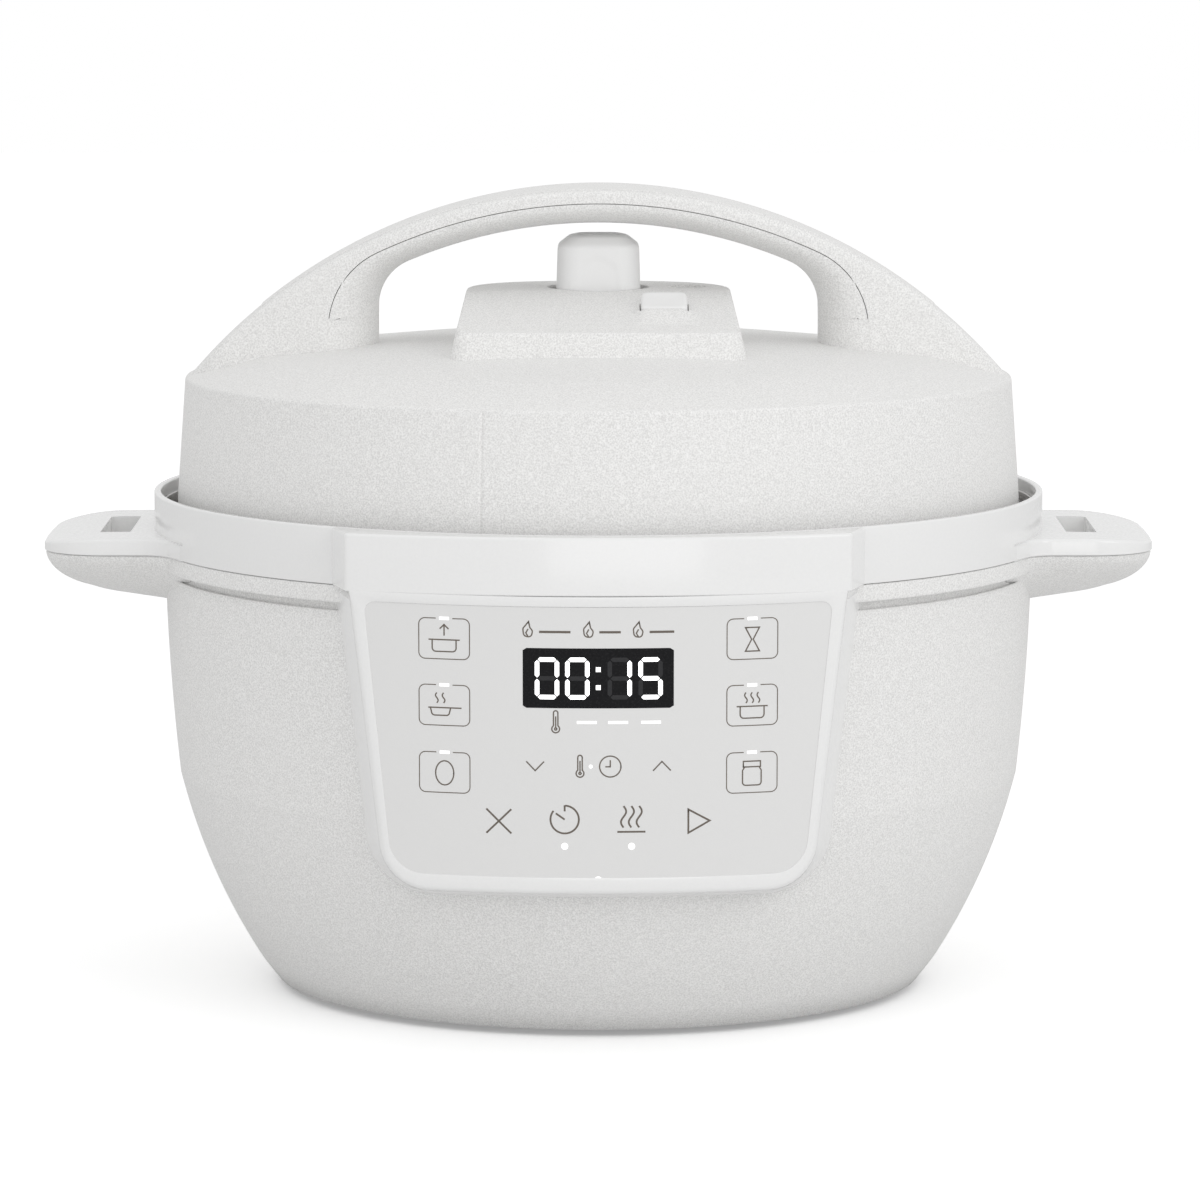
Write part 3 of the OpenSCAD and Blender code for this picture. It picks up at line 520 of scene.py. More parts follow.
def make_lower_grip():
    """Matte underside of a side handle: a hull whose section shrinks to its keel as (1 - s^n)^(1/n)."""
    rim = grip_outline(0.5, 164.0)
    top, low = SEAM_Z - 0.12, COLLAR_LOW[2]
    keel = np.stack([np.clip(rim[:, 0], 164, REACH - 30), 0 * rim[:, 1]], 1)
    rows = [np.column_stack([rim - outward(rim) * 0.5, np.full(len(rim), top)])]
    for s in 1 - (1 - np.linspace(0, 1, 19)) ** 1.5:
        length, width = (1 - s ** 1.8) ** (1 / 1.8), (1 - s ** 1.45) ** (1 / 1.45)
        plan = keel + (rim - keel) * (0.1 + 0.9 * np.array([length, width]))
        bottom = low + 4.5 * np.clip((plan[:, 0] - 178) / 30, -0.4, 1)
        rows.append(np.column_stack([plan, top - 0.5 - (top - 0.5 - bottom) * s]))
    return sheet_grid("handle_grip_right", np.stack(rows), wrap_columns=True, caps=True)


def slot_cutter(z0, z1):
    """Rounded bar that opens the slot of a side handle."""
    half_wide, half_long, slot_at = 6.2, 29, 196.8
    outline = rounded_rectangle(half_wide, half_long, 0.8, 4, (slot_at, 0))
    return loft("slot_cutter", [(outline, z0), (outline, z1)])


def make_side_handles():
    """Both side handles, cut to fit round the housing, the collar and the ring, with their slots."""
    cap, grip = make_cap(), make_lower_grip()
    axis, under, over = 0.01, 140, 220
    drum = [(axis, 150), (RING_R - 0.6, 150), (RING_R - 0.6, over), (axis, over)]
    cut(cap, turned("ring_cutter", np.array(drum)))
    steps = [(axis, under), (BODY_R - 1.2, under), (BODY_R - 1.2, BODY_TOP), (BODY_R - 2.5, BODY_TOP),
             (BODY_R - 2.5, BODY_TOP + 3.4), (BAND_R - 0.6, BODY_TOP + 3.4), (BAND_R - 0.6, over),
             (axis, over)]
    cut(grip, turned("collar_cutter", np.array(steps)))
    cut(cap, slot_cutter(170, 200))
    cut(grip, slot_cutter(SEAM_Z - 5, 200))
    for made in (mirrored(cap, "handle_cap_left"), cap):
        fit(made, GLOSS, "base", "gloss_white", "top_ring")
    for made in (mirrored(grip, "handle_grip_left"), grip):
        fit(made, MATTE, "base", "matte_white", "handle_collar")


def make_collar():
    """Matte band between housing and ring: a neck sunk below the body's edge, then the band proper."""
    inner, shelf, neck = 150, RIM_LOW[2], BODY_R - 2.4
    sole, step, top = BODY_TOP - 2.5, BODY_TOP + 3.6, SEAM_Z - 0.15
    profile = rounded([(inner, sole), (neck, sole), (neck, step), (BAND_R, step), (BAND_R, top),
                       (BAND_R - 3.2, top), (BAND_R - 3.2, shelf), (inner, shelf)],
                      [0, 0, 0, 0.8, 0.5, 0, 0, 0], 4)
    fit(turned("collar_band", profile), MATTE, "base", "matte_white", "handle_collar")


def make_ring():
    """The ring's wall with a rolled upper lip, its web and its spigot in the collar."""
    top, low, inner = RING_HIGH[2], SEAM_Z + 0.15, RING_R - 2.8
    profile = rounded([(BODY_R - 2.2, RIM_LOW[2]), (BODY_R + 0.6, RIM_LOW[2]), (BODY_R + 0.6, low),
                       (RING_R, low), (RING_R, top), (inner, top), (inner, SEAM_Z + 2),
                       (BODY_R - 2.2, SEAM_Z + 2)], [0, 0, 0, 0.4, 0.8, 0.8, 0, 0], 5)
    fit(turned("ring_wall", profile, 288), GLOSS, "base", "gloss_white", "top_ring")


# ---------- control panel ----------

PANEL_R = 290.0
FACE = 0.35
PANEL_HALF = 97.3
PANEL_FRONT = RING_LOW[1]
PANEL_TOP = SEAM_Z - 0.2
LEAN = np.radians(3)


def front_curve(x):
    """Depth of the panel's face behind its foremost line."""
    return PANEL_R - np.sqrt(PANEL_R ** 2 - x ** 2)


def lean_back(points):
    """From the panel's own frame (x, depth, height below the seam) to the object's, leaning back by LEAN."""
    x, y, z = np.moveaxis(np.asarray(points, float), -1, 0)
    c, s = np.cos(LEAN), np.sin(LEAN)
    return np.stack([x, PANEL_FRONT + y * c - z * s, PANEL_TOP + y * s + z * c], -1)


def make_pad():
    """Pad on the ring above the panel: a curved face with rolled edges, run back to the ring all round."""
    side = np.arcsin(PANEL_HALF / PANEL_R)
    angle = np.linspace(-side, side, 61)
    face = np.stack([PANEL_R * np.sin(angle), PANEL_FRONT + front_curve(PANEL_R * np.sin(angle))], 1)
    root_x, root_y = 103.6, -149.3
    path = np.concatenate([[(-root_x, root_y)], face, [(root_x, root_y)]])
    radii = np.zeros(len(path))
    radii[[1, -2]] = 2.2
    path = rounded(path, radii, 6, closed=False)
    chord = np.gradient(path, axis=0)
    inward = np.stack([-chord[:, 1], chord[:, 0]], 1)
    inward /= np.linalg.norm(inward, axis=1, keepdims=True)
    home = path / np.linalg.norm(path, axis=1, keepdims=True) * (RING_R - 2.4)
    low, high, edge = PANEL_TOP + 0.25, RING_HIGH[2] - 0.12, 1.1
    rows = [(home, low), (path + inward * 0.4, low), (path, low + 0.4),
            *rolled_edge(path, inward, edge, high), (home, high)]
    points = np.stack([np.column_stack([plan, np.full(len(plan), z)]) for plan, z in rows])
    made = sheet_grid("ring_pad", np.moveaxis(points, 0, 1), wrap_columns=True, caps=True)
    fit(made, GLOSS, "base", "gloss_white", "top_ring")


def matched_outline(corners, radii, steps=8, between=28):
    """Rounded outline with evenly spaced points on its straight sides, so that two of them correspond."""
    arcs = rounded(corners, radii, steps).reshape(len(corners), steps + 1, 2)
    t = np.linspace(0, 1, between, endpoint=False)[1:, None]
    joined = [np.concatenate([arc, arc[-1] + (after[0] - arc[-1]) * t])
              for arc, after in zip(arcs, np.roll(arcs, -1, 0))]
    return np.concatenate(joined)


def bezel_outline():
    """Front elevation of the bezel, anticlockwise from its top right: slanted sides, large lower corners."""
    top, foot, height = 95.9, 82.7, 116.5
    return matched_outline([(top, 0), (-top, 0), (-foot, -height), (foot, -height)], [0.5, 0.5, 19, 19])


def glass_outline():
    """Front elevation of the glass inside the bezel, point for point with it."""
    top, foot, head, height = 90, 79.5, 4, 109.5
    return matched_outline([(top, -head), (-top, -head), (-foot, -height), (foot, -height)], [4, 4, 13, 13])


def make_bezel():
    """Bezel: a section carried round the outline, from the housing over a rolled edge to the glass pocket.

    Each point lies between the bezel's outline (share 0) and the glass's (share 1), or outside it by an
    offset along the outline's normal; the roll is small along the upper edge, where the pad meets it.
    """
    outer, inner = bezel_outline(), glass_outline()
    normal = outward(outer)
    free = np.clip(-outer[:, 1] / 4, 0, 1)
    rail = np.linalg.norm(inner - outer, axis=1)
    radius = 0.5 + 1.9 * free
    section = [(7.4 * free, 0, 28), (0.5 * free, 0, radius + 0.6)]
    for a in np.linspace(0, np.pi / 2, 7):
        section.append((0, radius * (1 - np.cos(a)) / rail, radius * (1 - np.sin(a))))
    section += [(0, 1 - 0.6 / rail, 0), (0, 1 - 0.15 / rail, 0.12), (0, 1, 0.5), (0, 1, 2.5), (0, 1.5, 2.5),
                (0, 1.5, 4.5), (0, 0.5, 5.5), (4.6 * free, 0.3, 28)]
    rows = []
    for offset, share, depth in section:
        offset, share = (np.broadcast_to(v, len(outer))[:, None] for v in (offset, share))
        plan = outer + (inner - outer) * share + normal * offset
        rows.append(np.stack([plan[:, 0], depth + front_curve(plan[:, 0]), plan[:, 1]], 1))
    made = sheet_grid("panel_bezel", lean_back(np.stack(rows)), wrap_rows=True, wrap_columns=True)
    fit(made, GLOSS, "base", "gloss_white", "front_bezel")


def make_glass():
    """Grey panel: rings shrinking to the outline's middle, bent to the front's curve, on both faces."""
    outline, middle = glass_outline() * (1.003, 1.002), np.array([0, -57.0])
    shares = np.linspace(0.02, 1, 18)
    rows = []
    for share, depth in [*zip(shares, 0 * shares + FACE), *zip(shares[::-1], 0 * shares + FACE + 2)]:
        plan = middle + (outline - middle) * share
        rows.append(np.stack([plan[:, 0], front_curve(plan[:, 0]) + depth, plan[:, 1]], 1))
    made = sheet_grid("panel_glass", lean_back(np.stack(rows)), wrap_columns=True, caps=True)
    fit(made, PANEL, "base", "panel_glass", "panel_overlay")


# ---------- printed marks and lights on the panel ----------

def ring_of(centre, radius, start=0.0, stop=360.0, count=25, squeeze=1.0):
    """Arc of a circle in degrees, anticlockwise from the right; squeeze scales its height."""
    angle = np.radians(np.linspace(start, stop, count))
    return np.stack([centre[0] + radius * np.cos(angle), centre[1] + radius * squeeze * np.sin(angle)], 1)


def wave(x, bottom, top, width, count=17):
    """An upright S-shaped wisp."""
    t = np.linspace(0, 1, count)
    return np.stack([x + width * np.sin(2 * np.pi * t), bottom + (top - bottom) * t], 1)


def ribbon(line, width):
    """Left and right edges of an even stroke along a line, mitred at its bends and cut to short steps."""
    line = np.asarray(line, float)
    along = np.concatenate([[0], np.cumsum(np.linalg.norm(np.diff(line, axis=0), axis=1))])
    stops = np.unique(np.concatenate([along, np.arange(2.5, along[-1] - 0.2, 2.5)]))
    stops = stops[np.concatenate([[True], np.diff(stops) > 1e-4])]
    line = np.stack([np.interp(stops, along, line[:, k]) for k in (0, 1)], 1)
    step = np.diff(line, axis=0)
    step /= np.linalg.norm(step, axis=1, keepdims=True)
    side = np.stack([-step[:, 1], step[:, 0]], 1)
    looped = np.allclose(line[0], line[-1])
    before = np.concatenate([side[-1:] if looped else side[:1], side])
    after = np.concatenate([side, side[:1] if looped else side[-1:]])
    mitre = before + after
    mitre /= np.maximum((mitre * before).sum(1, keepdims=True), 0.35)
    return line + mitre * width / 2, line - mitre * width / 2


def printed(name, strokes, material, slot, thickness=0.05, lift=0.0):
    """One piece of many flat strokes, each a pair of edges, laid on the panel's curved face."""
    points, faces, count = [], [], 0
    for left, right in strokes:
        n = len(left)
        layers = []
        for depth in (FACE + 0.02 - lift, FACE - thickness - lift):
            for edge in (left, right):
                layers.append(np.stack([edge[:, 0], front_curve(edge[:, 0]) + depth, edge[:, 1]], 1))
        order = [layers[0], layers[1], layers[3], layers[2]]
        block = np.stack(order, 1)
        points.append(block.reshape(-1, 3))
        faces += (grid_faces(n, 4, wrap_columns=True) + count).tolist()
        faces += [[count + k for k in range(4)], [count + (n - 1) * 4 + k for k in range(4)]]
        count += n * 4
    made = piece(name, lean_back(np.concatenate(points)), faces, weld=1e-8)
    return fit(made, material, "base", slot)


def filled(outline):
    """A stroke that fills a convex outline, as two edges from its top to its bottom."""
    outline = np.asarray(outline, float)
    order = np.roll(outline, -int(np.argmax(outline[:, 1])), 0)
    n = len(order) // 2
    t = np.linspace(0, 1, n)
    index = np.arange(len(order))
    left = np.stack([np.interp(t * n, index, order[:, k]) for k in (0, 1)], 1)
    right = np.stack([np.interp(len(order) - t * (len(order) - n), np.append(index, len(order)),
                                np.append(order[:, k], order[0, k])) for k in (0, 1)], 1)
    return left, right


KEY_HALF = (9.75, 7.9)
KEY_X = 59.0
KEY_Z = (-17.2, -43.1, -69.4)
BAR_HALF = 1.9
KEY_GAP = 3.2
STAGE_Z, WORD_Z, CLOCK_Z, BAR_Z, MIDDLE_Z, DOT_Z = -12.9, -13.6, -31.6, -48.7, -65.9, -97.2
DIAL_AT = (-12.9, -86.7)
FINE, MEDIUM, HEAVY = 0.36, 0.5, 0.7


def key_frame(x, z):
    """Rounded key frame, open at the middle of its top for the light bar."""
    w, h = KEY_HALF
    corners = [(KEY_GAP, h), (w, h), (w, -h), (-w, -h), (-w, h), (-KEY_GAP, h)]
    return rounded(corners, [0, 2.4, 2.4, 2.4, 2.4, 0], 6, closed=False) + (x, z)


def open_pot():
    """A lidless pot in front view: straight sides with rounded lower corners under a wider flat rim."""
    half, rim, foot = 4.6, -0.4, -5.0
    corners = [(-half, rim), (-half, foot), (half, foot), (half, rim)]
    body = rounded(corners, [0, 1.4, 1.4, 0], 5, closed=False)
    return [body, np.array([(-6.0, rim), (6.0, rim)])]


def key_pictures():
    """Six plain pictures, each a list of lines about its key's centre, left column first.

    A pot under an arrow, a pan under two wisps and an egg; an hourglass, a pot under three wisps and a jar.
    """
    arrow = [np.array([(0, 1.2), (0, 5.4)]), np.array([(-1.7, 3.8), (0, 5.5), (1.7, 3.8)])]
    pan = [rounded([(-5.4, -1.0), (-4.7, -4.0), (1.7, -4.0), (2.4, -1.0)], [0, 1.2, 1.2, 0], 5, closed=False),
           np.array([(-6.2, -1.0), (6.6, -1.0)])]
    egg = [ring_of((0, -0.2), 3.5, 0, 360, 37, 1.35)]
    hourglass = [np.array([(-2.7, 4.4), (2.7, 4.4), (0.3, -0.2), (2.7, -4.8), (-2.7, -4.8), (-0.3, -0.2),
                           (-2.7, 4.4)])]
    jar = [rounded([(-2.9, 2.0), (-3.6, 0.8), (-3.6, -5.0), (3.6, -5.0), (3.6, 0.8), (2.9, 2.0)],
                   [0, 0.6, 1.2, 1.2, 0.6, 0], 5, closed=False),
           np.array([(-3.3, 2.2), (3.3, 2.2), (3.3, 4.4), (-3.3, 4.4), (-3.3, 2.2)])]
    return [[open_pot() + arrow, pan + [wave(x, 0.8, 4.8, 0.5) for x in (-2.9, -0.3)], egg],
            [hourglass, open_pot() + [wave(x, 0.9, 5.0, 0.5) for x in (-2.4, 0, 2.4)], jar]]


def thermometer(x, z, height):
    """A bulb under a narrow round-topped stem."""
    stem = 0.85
    top = ring_of((0, height / 2 - stem), stem, 0, 180, 9)
    bulb = ring_of((0, -height / 2 + 1.5), 1.5, 125, 415, 17)
    line = np.concatenate([top, bulb])
    return [np.concatenate([line, line[:1]]) + (x, z),
            np.array([(0, height / 2 - 2.2), (0, -height / 2 + 2.0)]) + (x, z),
            ring_of((x, z - height / 2 + 1.5), 0.45, 0, 360, 9)]


def flame(x, z, size=1.0):
    """A leaning flame with a smaller tongue."""
    outer = rounded([(0.4, 3.4), (-1.9, 0.6), (-1.6, -2.6), (1.5, -2.9), (2.0, -0.4), (0.9, 1.0)],
                    [0, 1.2, 1.6, 1.4, 1.2, 0.6], 6)
    inner = np.array([(0.2, 0.4), (-0.7, -1.2), (0.1, -2.6)])
    return [np.concatenate([outer, outer[:1]]) * size + (x, z), inner * size + (x, z)]


def make_prints():
    """Grey printed symbols: the keys' frames and pictures, the stages and the lower row."""
    lines, bold = [], []
    for x, column in zip((-KEY_X, KEY_X), key_pictures()):
        for z, icon in zip(KEY_Z, column):
            lines.append(key_frame(x, z))
            bold += [stroke + (x, z) for stroke in icon]
    for x in (-27.0, -3.8, 15.2):
        bold += flame(x, STAGE_Z, 0.95)
    bold += thermometer(-16.3, -48.5, 8.6) + thermometer(-7.0, -65.8, 8.6)
    bold += [ring_of((4.6, MIDDLE_Z), 4.1, 0, 360, 33), np.array([(4.6, -63.4), (4.6, -66.0), (2.7, -66.0)])]
    for x, tip in ((-24.2, -1), (24.4, 1)):
        foot, peak = MIDDLE_Z - tip * 1.8, MIDDLE_Z + tip * 1.8
        bold.append(np.array([(x - 3.4, foot), (x, peak), (x + 3.4, foot)]))
    heavy = [np.array([(-43.0, -83.0), (-33.4, -92.5)]), np.array([(-43.0, -92.5), (-33.4, -83.0)])]
    heavy += [ring_of(DIAL_AT, 5.45, 142, 448, 45), np.array([DIAL_AT, (-16.3, -84.3)]),
              np.array([(-12.9, -83.5), (-12.9, -81.1)])]
    heavy += [wave(x, -89.8, -81.4, -1.0, 25) for x in (9.7, 12.7, 15.7)]
    heavy.append(np.array([(7.3, -91.5), (18.1, -91.5)]))
    heavy.append(rounded([(34.6, -83.1), (34.6, -92.3), (42.8, -87.7), (34.6, -83.1)], 0, 2, closed=False))
    strokes = [ribbon(line, width) for group, width in ((lines, FINE), (bold, MEDIUM), (heavy, HEAVY))
               for line in group]
    for start, stop in ((-22.6, -10.6), (0.4, 8.6), (19.6, 29.0)):
        strokes.append(ribbon([(start, WORD_Z), (stop, WORD_Z)], 0.9))
    printed("panel_symbols", strokes, INK, "display_black")


def seven_segments(centre, lit_ones):
    """A digit's seven bars as lit and unlit strokes: a top, b and c right, d foot, e and f left, g middle."""
    x, z = centre
    w, h, gap, thick, blunt = 3.8, 7.3, 0.3, 0.85, 0.02
    ends = {"a": ((-w, h), (w, h)), "b": ((w, h), (w, 0)), "c": ((w, 0), (w, -h)), "d": ((-w, -h), (w, -h)),
            "e": ((-w, 0), (-w, -h)), "f": ((-w, h), (-w, 0)), "g": ((-w, 0), (w, 0))}
    groups = ([], [])
    for name, (start, stop) in ends.items():
        start, stop = np.array(start) + (x, z), np.array(stop) + (x, z)
        along = (stop - start) / np.linalg.norm(stop - start)
        side = np.array([-along[1], along[0]])
        start, stop = start + along * gap, stop - along * gap
        edges = []
        for way in (1, -1):
            lean = side * thick * way
            edge = np.array([start, start + along * thick + lean, stop - along * thick + lean, stop])
            edge[[0, -1]] += side * blunt * way
            edges.append(edge)
        groups[0 if name in lit_ones else 1].append(tuple(edges))
    return groups


def make_display():
    """Clock window with its lit and unlit bars, on the panel's face."""
    low, high, half = -43.2, -19.9, 28.9
    outline = rounded([(half, low), (half, high), (-half, high), (-half, low)], 0.9, 4)
    upper, lower = outline[outline[:, 1] > (low + high) / 2], outline[outline[:, 1] < (low + high) / 2]
    upper, lower = upper[np.argsort(upper[:, 0])], lower[np.argsort(lower[:, 0])]
    x = np.linspace(-half, half, 41)
    edges = [np.stack([x, np.interp(x, side[:, 0], side[:, 1])], 1) for side in (upper, lower)]
    printed("clock_window", [tuple(edges)], SCREEN, "display_black", 0.04)
    digits = {-19.6: "abcdef", -8.0: "abcdef", 8.2: "bc", 20.0: "acdfg"}
    lit_ones, unlit = [], []
    for x, bars in digits.items():
        on, off = seven_segments((x, CLOCK_Z), bars)
        lit_ones += on
        unlit += off
    for z in (-28.1, -35.1):
        lit_ones.append(ribbon([(-0.9, z), (0.9, z)], 1.8))
    printed("clock_bars_lit", lit_ones, DIGIT, "light_guide", 0.05, 0.04)
    printed("clock_bars_unlit", unlit, GHOST, "display_black", 0.03, 0.03)


def make_lights():
    """White light bars over the keys and under the clock, and the round lights of the lower row."""
    strokes = [ribbon([(x - BAR_HALF, z + KEY_HALF[1]), (x + BAR_HALF, z + KEY_HALF[1])], 1.25)
               for x in (-KEY_X, KEY_X) for z in KEY_Z]
    strokes += [ribbon([(x - 3.8, BAR_Z), (x + 3.8, BAR_Z)], 1.1) for x in (-4.4, 7.6, 20.2)]
    strokes += [filled(ring_of(centre, radius, 0, 345, 24)) for centre, radius in
                (((-12.9, DOT_Z), 1.35), ((12.8, DOT_Z), 1.35), ((-2.9, MIDDLE_Z), 0.75))]
    strokes.append(filled(ring_of((0, -110.6), 1.6, 0, 180, 13)))
    printed("panel_lights", strokes, WHITE_INK, "light_guide")


# ---------- lid ----------

LID_R = LID_HIGH[0]
SHOULDER = np.array([LID_R - 3.9, LID_HIGH[2] - 15.9])
CROWN = LID_HIGH[2]


def lid_profile():
    """Outer (radius, height) points from the skirt over the rolled shoulder, the cone and the dome."""
    skirt = rounded([(LID_R - 3, LID_LOW[2]), (LID_R, LID_LOW[2]), (LID_R - 0.6, LID_LOW[2] + 17), SHOULDER,
                     (138, CROWN - 7.3)], [0, 0.8, 200, 1.6, 0], 8, closed=False)
    dome = rounded([(136.6, CROWN - 7.1), (95, CROWN - 2.7), (60, CROWN - 1), (1.0, CROWN - 0.02)],
                   [0, 160, 500, 0], 10, closed=False)
    return np.concatenate([skirt, dome])


def lid_height(radius):
    """Height of the lid's top at a distance from its axis."""
    profile = lid_profile()
    top = profile[profile[:, 1] > SHOULDER[1] - 1][::-1]
    return np.interp(radius, top[:, 0], top[:, 1])


def make_lid():
    """Lid shell turned about its axis, with a fine upright parting groove and a hole under the platform."""
    profile = lid_profile()
    hole_r, hole_y, deepest = 56, -20, 0.5
    profile = profile[profile[:, 0] > 82]
    rim = np.linspace(0, 1, 7)[1:]
    groove = np.radians(-105.3)
    width = np.radians([-0.4, -0.27, -0.13, 0.0, 0.13, 0.27, 0.4])
    angle = np.sort(np.concatenate([np.linspace(-np.pi, np.pi, 300, endpoint=False), groove + width]))
    cut_depth = deepest * np.clip(1 - np.abs(angle - groove) / np.radians(0.3), 0, 1)
    radius, height = profile[:, 0][None], profile[:, 1][None]
    on_side = (height < SHOULDER[1] - 0.3) & (height > LID_LOW[2] + 0.5)
    radius = radius - cut_depth[:, None] * on_side
    outer = np.stack([radius * np.cos(angle)[:, None], radius * np.sin(angle)[:, None],
                      height + 0 * angle[:, None]], -1)
    hole = np.stack([hole_r * np.cos(angle), hole_r * np.sin(angle) + hole_y], -1)
    edge = outer[:, -1, :2]
    inner = []
    for t in rim:
        plan = edge + (hole - edge) * t
        inner.append(np.column_stack([plan, lid_height(np.hypot(*plan.T))]))
    points = np.concatenate([outer, np.stack(inner, 1)], 1)
    made = sheet_grid("lid_shell", points, wrap_rows=True, weld=1e-7)
    wall = made.modifiers.new("wall", "SOLIDIFY")
    wall.thickness, wall.offset = 2.7 * MM, -1
    settle(made)
    fit(made, MATTE, "lid", "matte_white", "lid_cover")


# ---------- arched handle ----------

ARCH_Z = FRAME_HIGH[2] - 221
ARCH_R = 220.5
ARCH_HALF = 30.0
LENS_R = 943.0
SEAM_HALF, GAP_HALF = 110.0, 90.0
SEAM_ARC = (35, 211, ARCH_Z + 4.2)
GAP_ARC = (20, 200, ARCH_Z + 6)
COVER_HALF = 138
COVER_INSET = 4.9
SUNK = 1.5


def half_depth(x):
    """Half the handle's width at x: a long lens that narrows to a nose at the lid's shoulder."""
    lens = np.sqrt(LENS_R ** 2 - x ** 2) - (LENS_R - ARCH_HALF)
    nose = np.sqrt(1 - 0.75 * np.clip((np.abs(x) - 150) / 19.5, 0, 1) ** 2)
    return lens * nose


def inner_contour(half, fillet, radius, centre, foot, grow=0.0):
    """Side view of an inner edge from the left foot over the middle to the right: line, corner, arc."""
    turn = np.arccos((half - fillet) / (radius - fillet))
    corner = np.array([half - fillet, centre + (radius - fillet) * np.sin(turn)])
    line = np.stack([np.full(7, half + grow), np.linspace(foot, corner[1], 7)], 1)
    bend = ring_of(corner, fillet + grow, 0, np.degrees(turn), 13)[1:]
    arc = ring_of((0, centre), radius + grow, np.degrees(turn), 90, 31)[1:]
    right = np.concatenate([line, bend, arc])
    left = right[:-1] * (-1, 1)
    return np.concatenate([left, right[::-1]])


def both_faces(plan, depth):
    """A station's closed loop: its front half at -depth, then its mirror image behind, on the way back."""
    front = np.stack([plan[:, 0], -depth, plan[:, 1]], 1)
    return np.concatenate([front, front[::-1] * (1, -1, 1)])


def handle_section(start, stop, round_out, round_in, channel):
    """Front half of a station: distances from start to stop, and how far its half-depth is drawn in."""
    length = np.linalg.norm(stop - start)
    out, inn = min(round_out, 0.45 * length), min(round_in, 0.3 * length)
    q = [inn * (1 - np.sin(np.pi / 2 - ROLL))]
    inset = [inn * (1 - np.cos(np.pi / 2 - ROLL))]
    face = np.linspace(inn, length - out, 9)[1:-1]
    q.append(face)
    inset.append(0 * face)
    q.append(length - out + out * np.sin(ROLL))
    inset.append(out * (1 - np.cos(ROLL)))
    q.append(np.array([length, length - channel, length - channel]))
    inset.append(np.array([4.6, 4.7, 12.0]))
    return np.concatenate(q), np.concatenate(inset)


def make_handle_frame():
    """Arch with its webs: a rounded section between the inner edge and the outer arc at each station."""
    seam = inner_contour(SEAM_HALF, *SEAM_ARC, lid_height(SEAM_HALF) - SUNK)
    left_x = np.linspace(-SHOULDER[0] + 0.8, -SEAM_HALF, 16)[:-1]
    floor = np.stack([left_x, lid_height(np.abs(left_x)) - SUNK], 1)
    inner = np.concatenate([floor, seam, floor[::-1] * (-1, 1)])
    turn_x, foot_x = 141, SHOULDER[0] - 0.6
    reach = np.concatenate([np.linspace(-foot_x, -turn_x, len(floor) + 1)[:-1],
                            np.linspace(-turn_x, turn_x, len(seam)),
                            np.linspace(turn_x, foot_x, len(floor) + 1)[1:]])
    outer = np.stack([reach, ARCH_Z + np.sqrt(ARCH_R ** 2 - reach ** 2)], 1)
    rows = []
    for start, stop in zip(inner, outer):
        channel = 0.9 if abs(stop[0]) < COVER_HALF + 0.3 else 0.0
        q, inset = handle_section(start, stop, 3.3, 0.35, channel)
        plan = start + (stop - start) / np.linalg.norm(stop - start) * q[:, None]
        rows.append(both_faces(plan, np.maximum(half_depth(plan[:, 0]) - inset, 0.3)))
    made = sheet_grid("handle_frame_skin", np.stack(rows), wrap_columns=True, caps=True)
    fit(made, MATTE, "lid", "matte_white", "handle_frame")


def grip_surface(name, seam, gap, inset):
    """Half-round bar between the seam and the hand gap: depth falls as a cosine while it bulges as a sine."""
    t = np.linspace(0, np.pi, 33)[None]
    s, g = seam[:, None], gap[:, None]
    plan = s + (g - s) * (np.sin(t) ** 0.9)[..., None]
    depth = (half_depth(seam[:, 0]) - inset)[:, None]
    under = np.stack([plan[..., 0], -depth * np.cos(t), plan[..., 1]], -1)
    return sheet_grid(name, under, wrap_columns=True, caps=True)


def make_handle_grip():
    """Insert under the arch, and the two short legs below its feet."""
    foot = 275.0
    seam = inner_contour(SEAM_HALF, *SEAM_ARC, foot - 4.5, -0.25)
    gap = inner_contour(GAP_HALF, *GAP_ARC, foot + 0.02)
    seam[0, 1] = seam[-1, 1] = foot + 0.02
    seam = seam[np.r_[0, 7:len(seam) - 7, len(seam) - 1]]
    gap = gap[np.r_[0, 7:len(gap) - 7, len(gap) - 1]]
    insert = grip_surface("handle_insert", seam, gap, 0.25)
    fit(insert, MATTE, "lid", "matte_white", "handle_grip")
    heights = np.linspace(lid_height(GAP_HALF) - 2, foot - 0.02, 8)
    leg_seam = np.stack([np.full(8, SEAM_HALF + 1), heights], 1)
    leg_gap = np.stack([np.full(8, GAP_HALF), heights], 1)
    right = grip_surface("handle_leg_right", leg_seam, leg_gap, 0.02)
    for leg in (mirrored(right, "handle_leg_left"), right):
        fit(leg, MATTE, "lid", "matte_white", "handle_frame")


def make_top_cover():
    """Thin cover let into the top of the arch."""
    roll, edge = np.linspace(0, np.pi / 2, 5), 0.5
    rows = []
    for at in np.linspace(-COVER_HALF, COVER_HALF, 81):
        radial = np.array([at, np.sqrt(ARCH_R ** 2 - at ** 2)]) / ARCH_R
        low, high = ARCH_R - 0.85, ARCH_R + 0.45
        q = np.concatenate([[low], high - edge + edge * np.sin(roll), [high]])
        depth = half_depth(at) - COVER_INSET - np.concatenate([[0], edge * (1 - np.cos(roll)), [4]])
        rows.append(both_faces(radial * q[:, None] + (0, ARCH_Z), depth))
    made = sheet_grid("handle_top_strip", np.stack(rows), wrap_columns=True, caps=True)
    fit(made, MATTE, "lid", "matte_white", "handle_top_cover")


# ---------- valve platform ----------

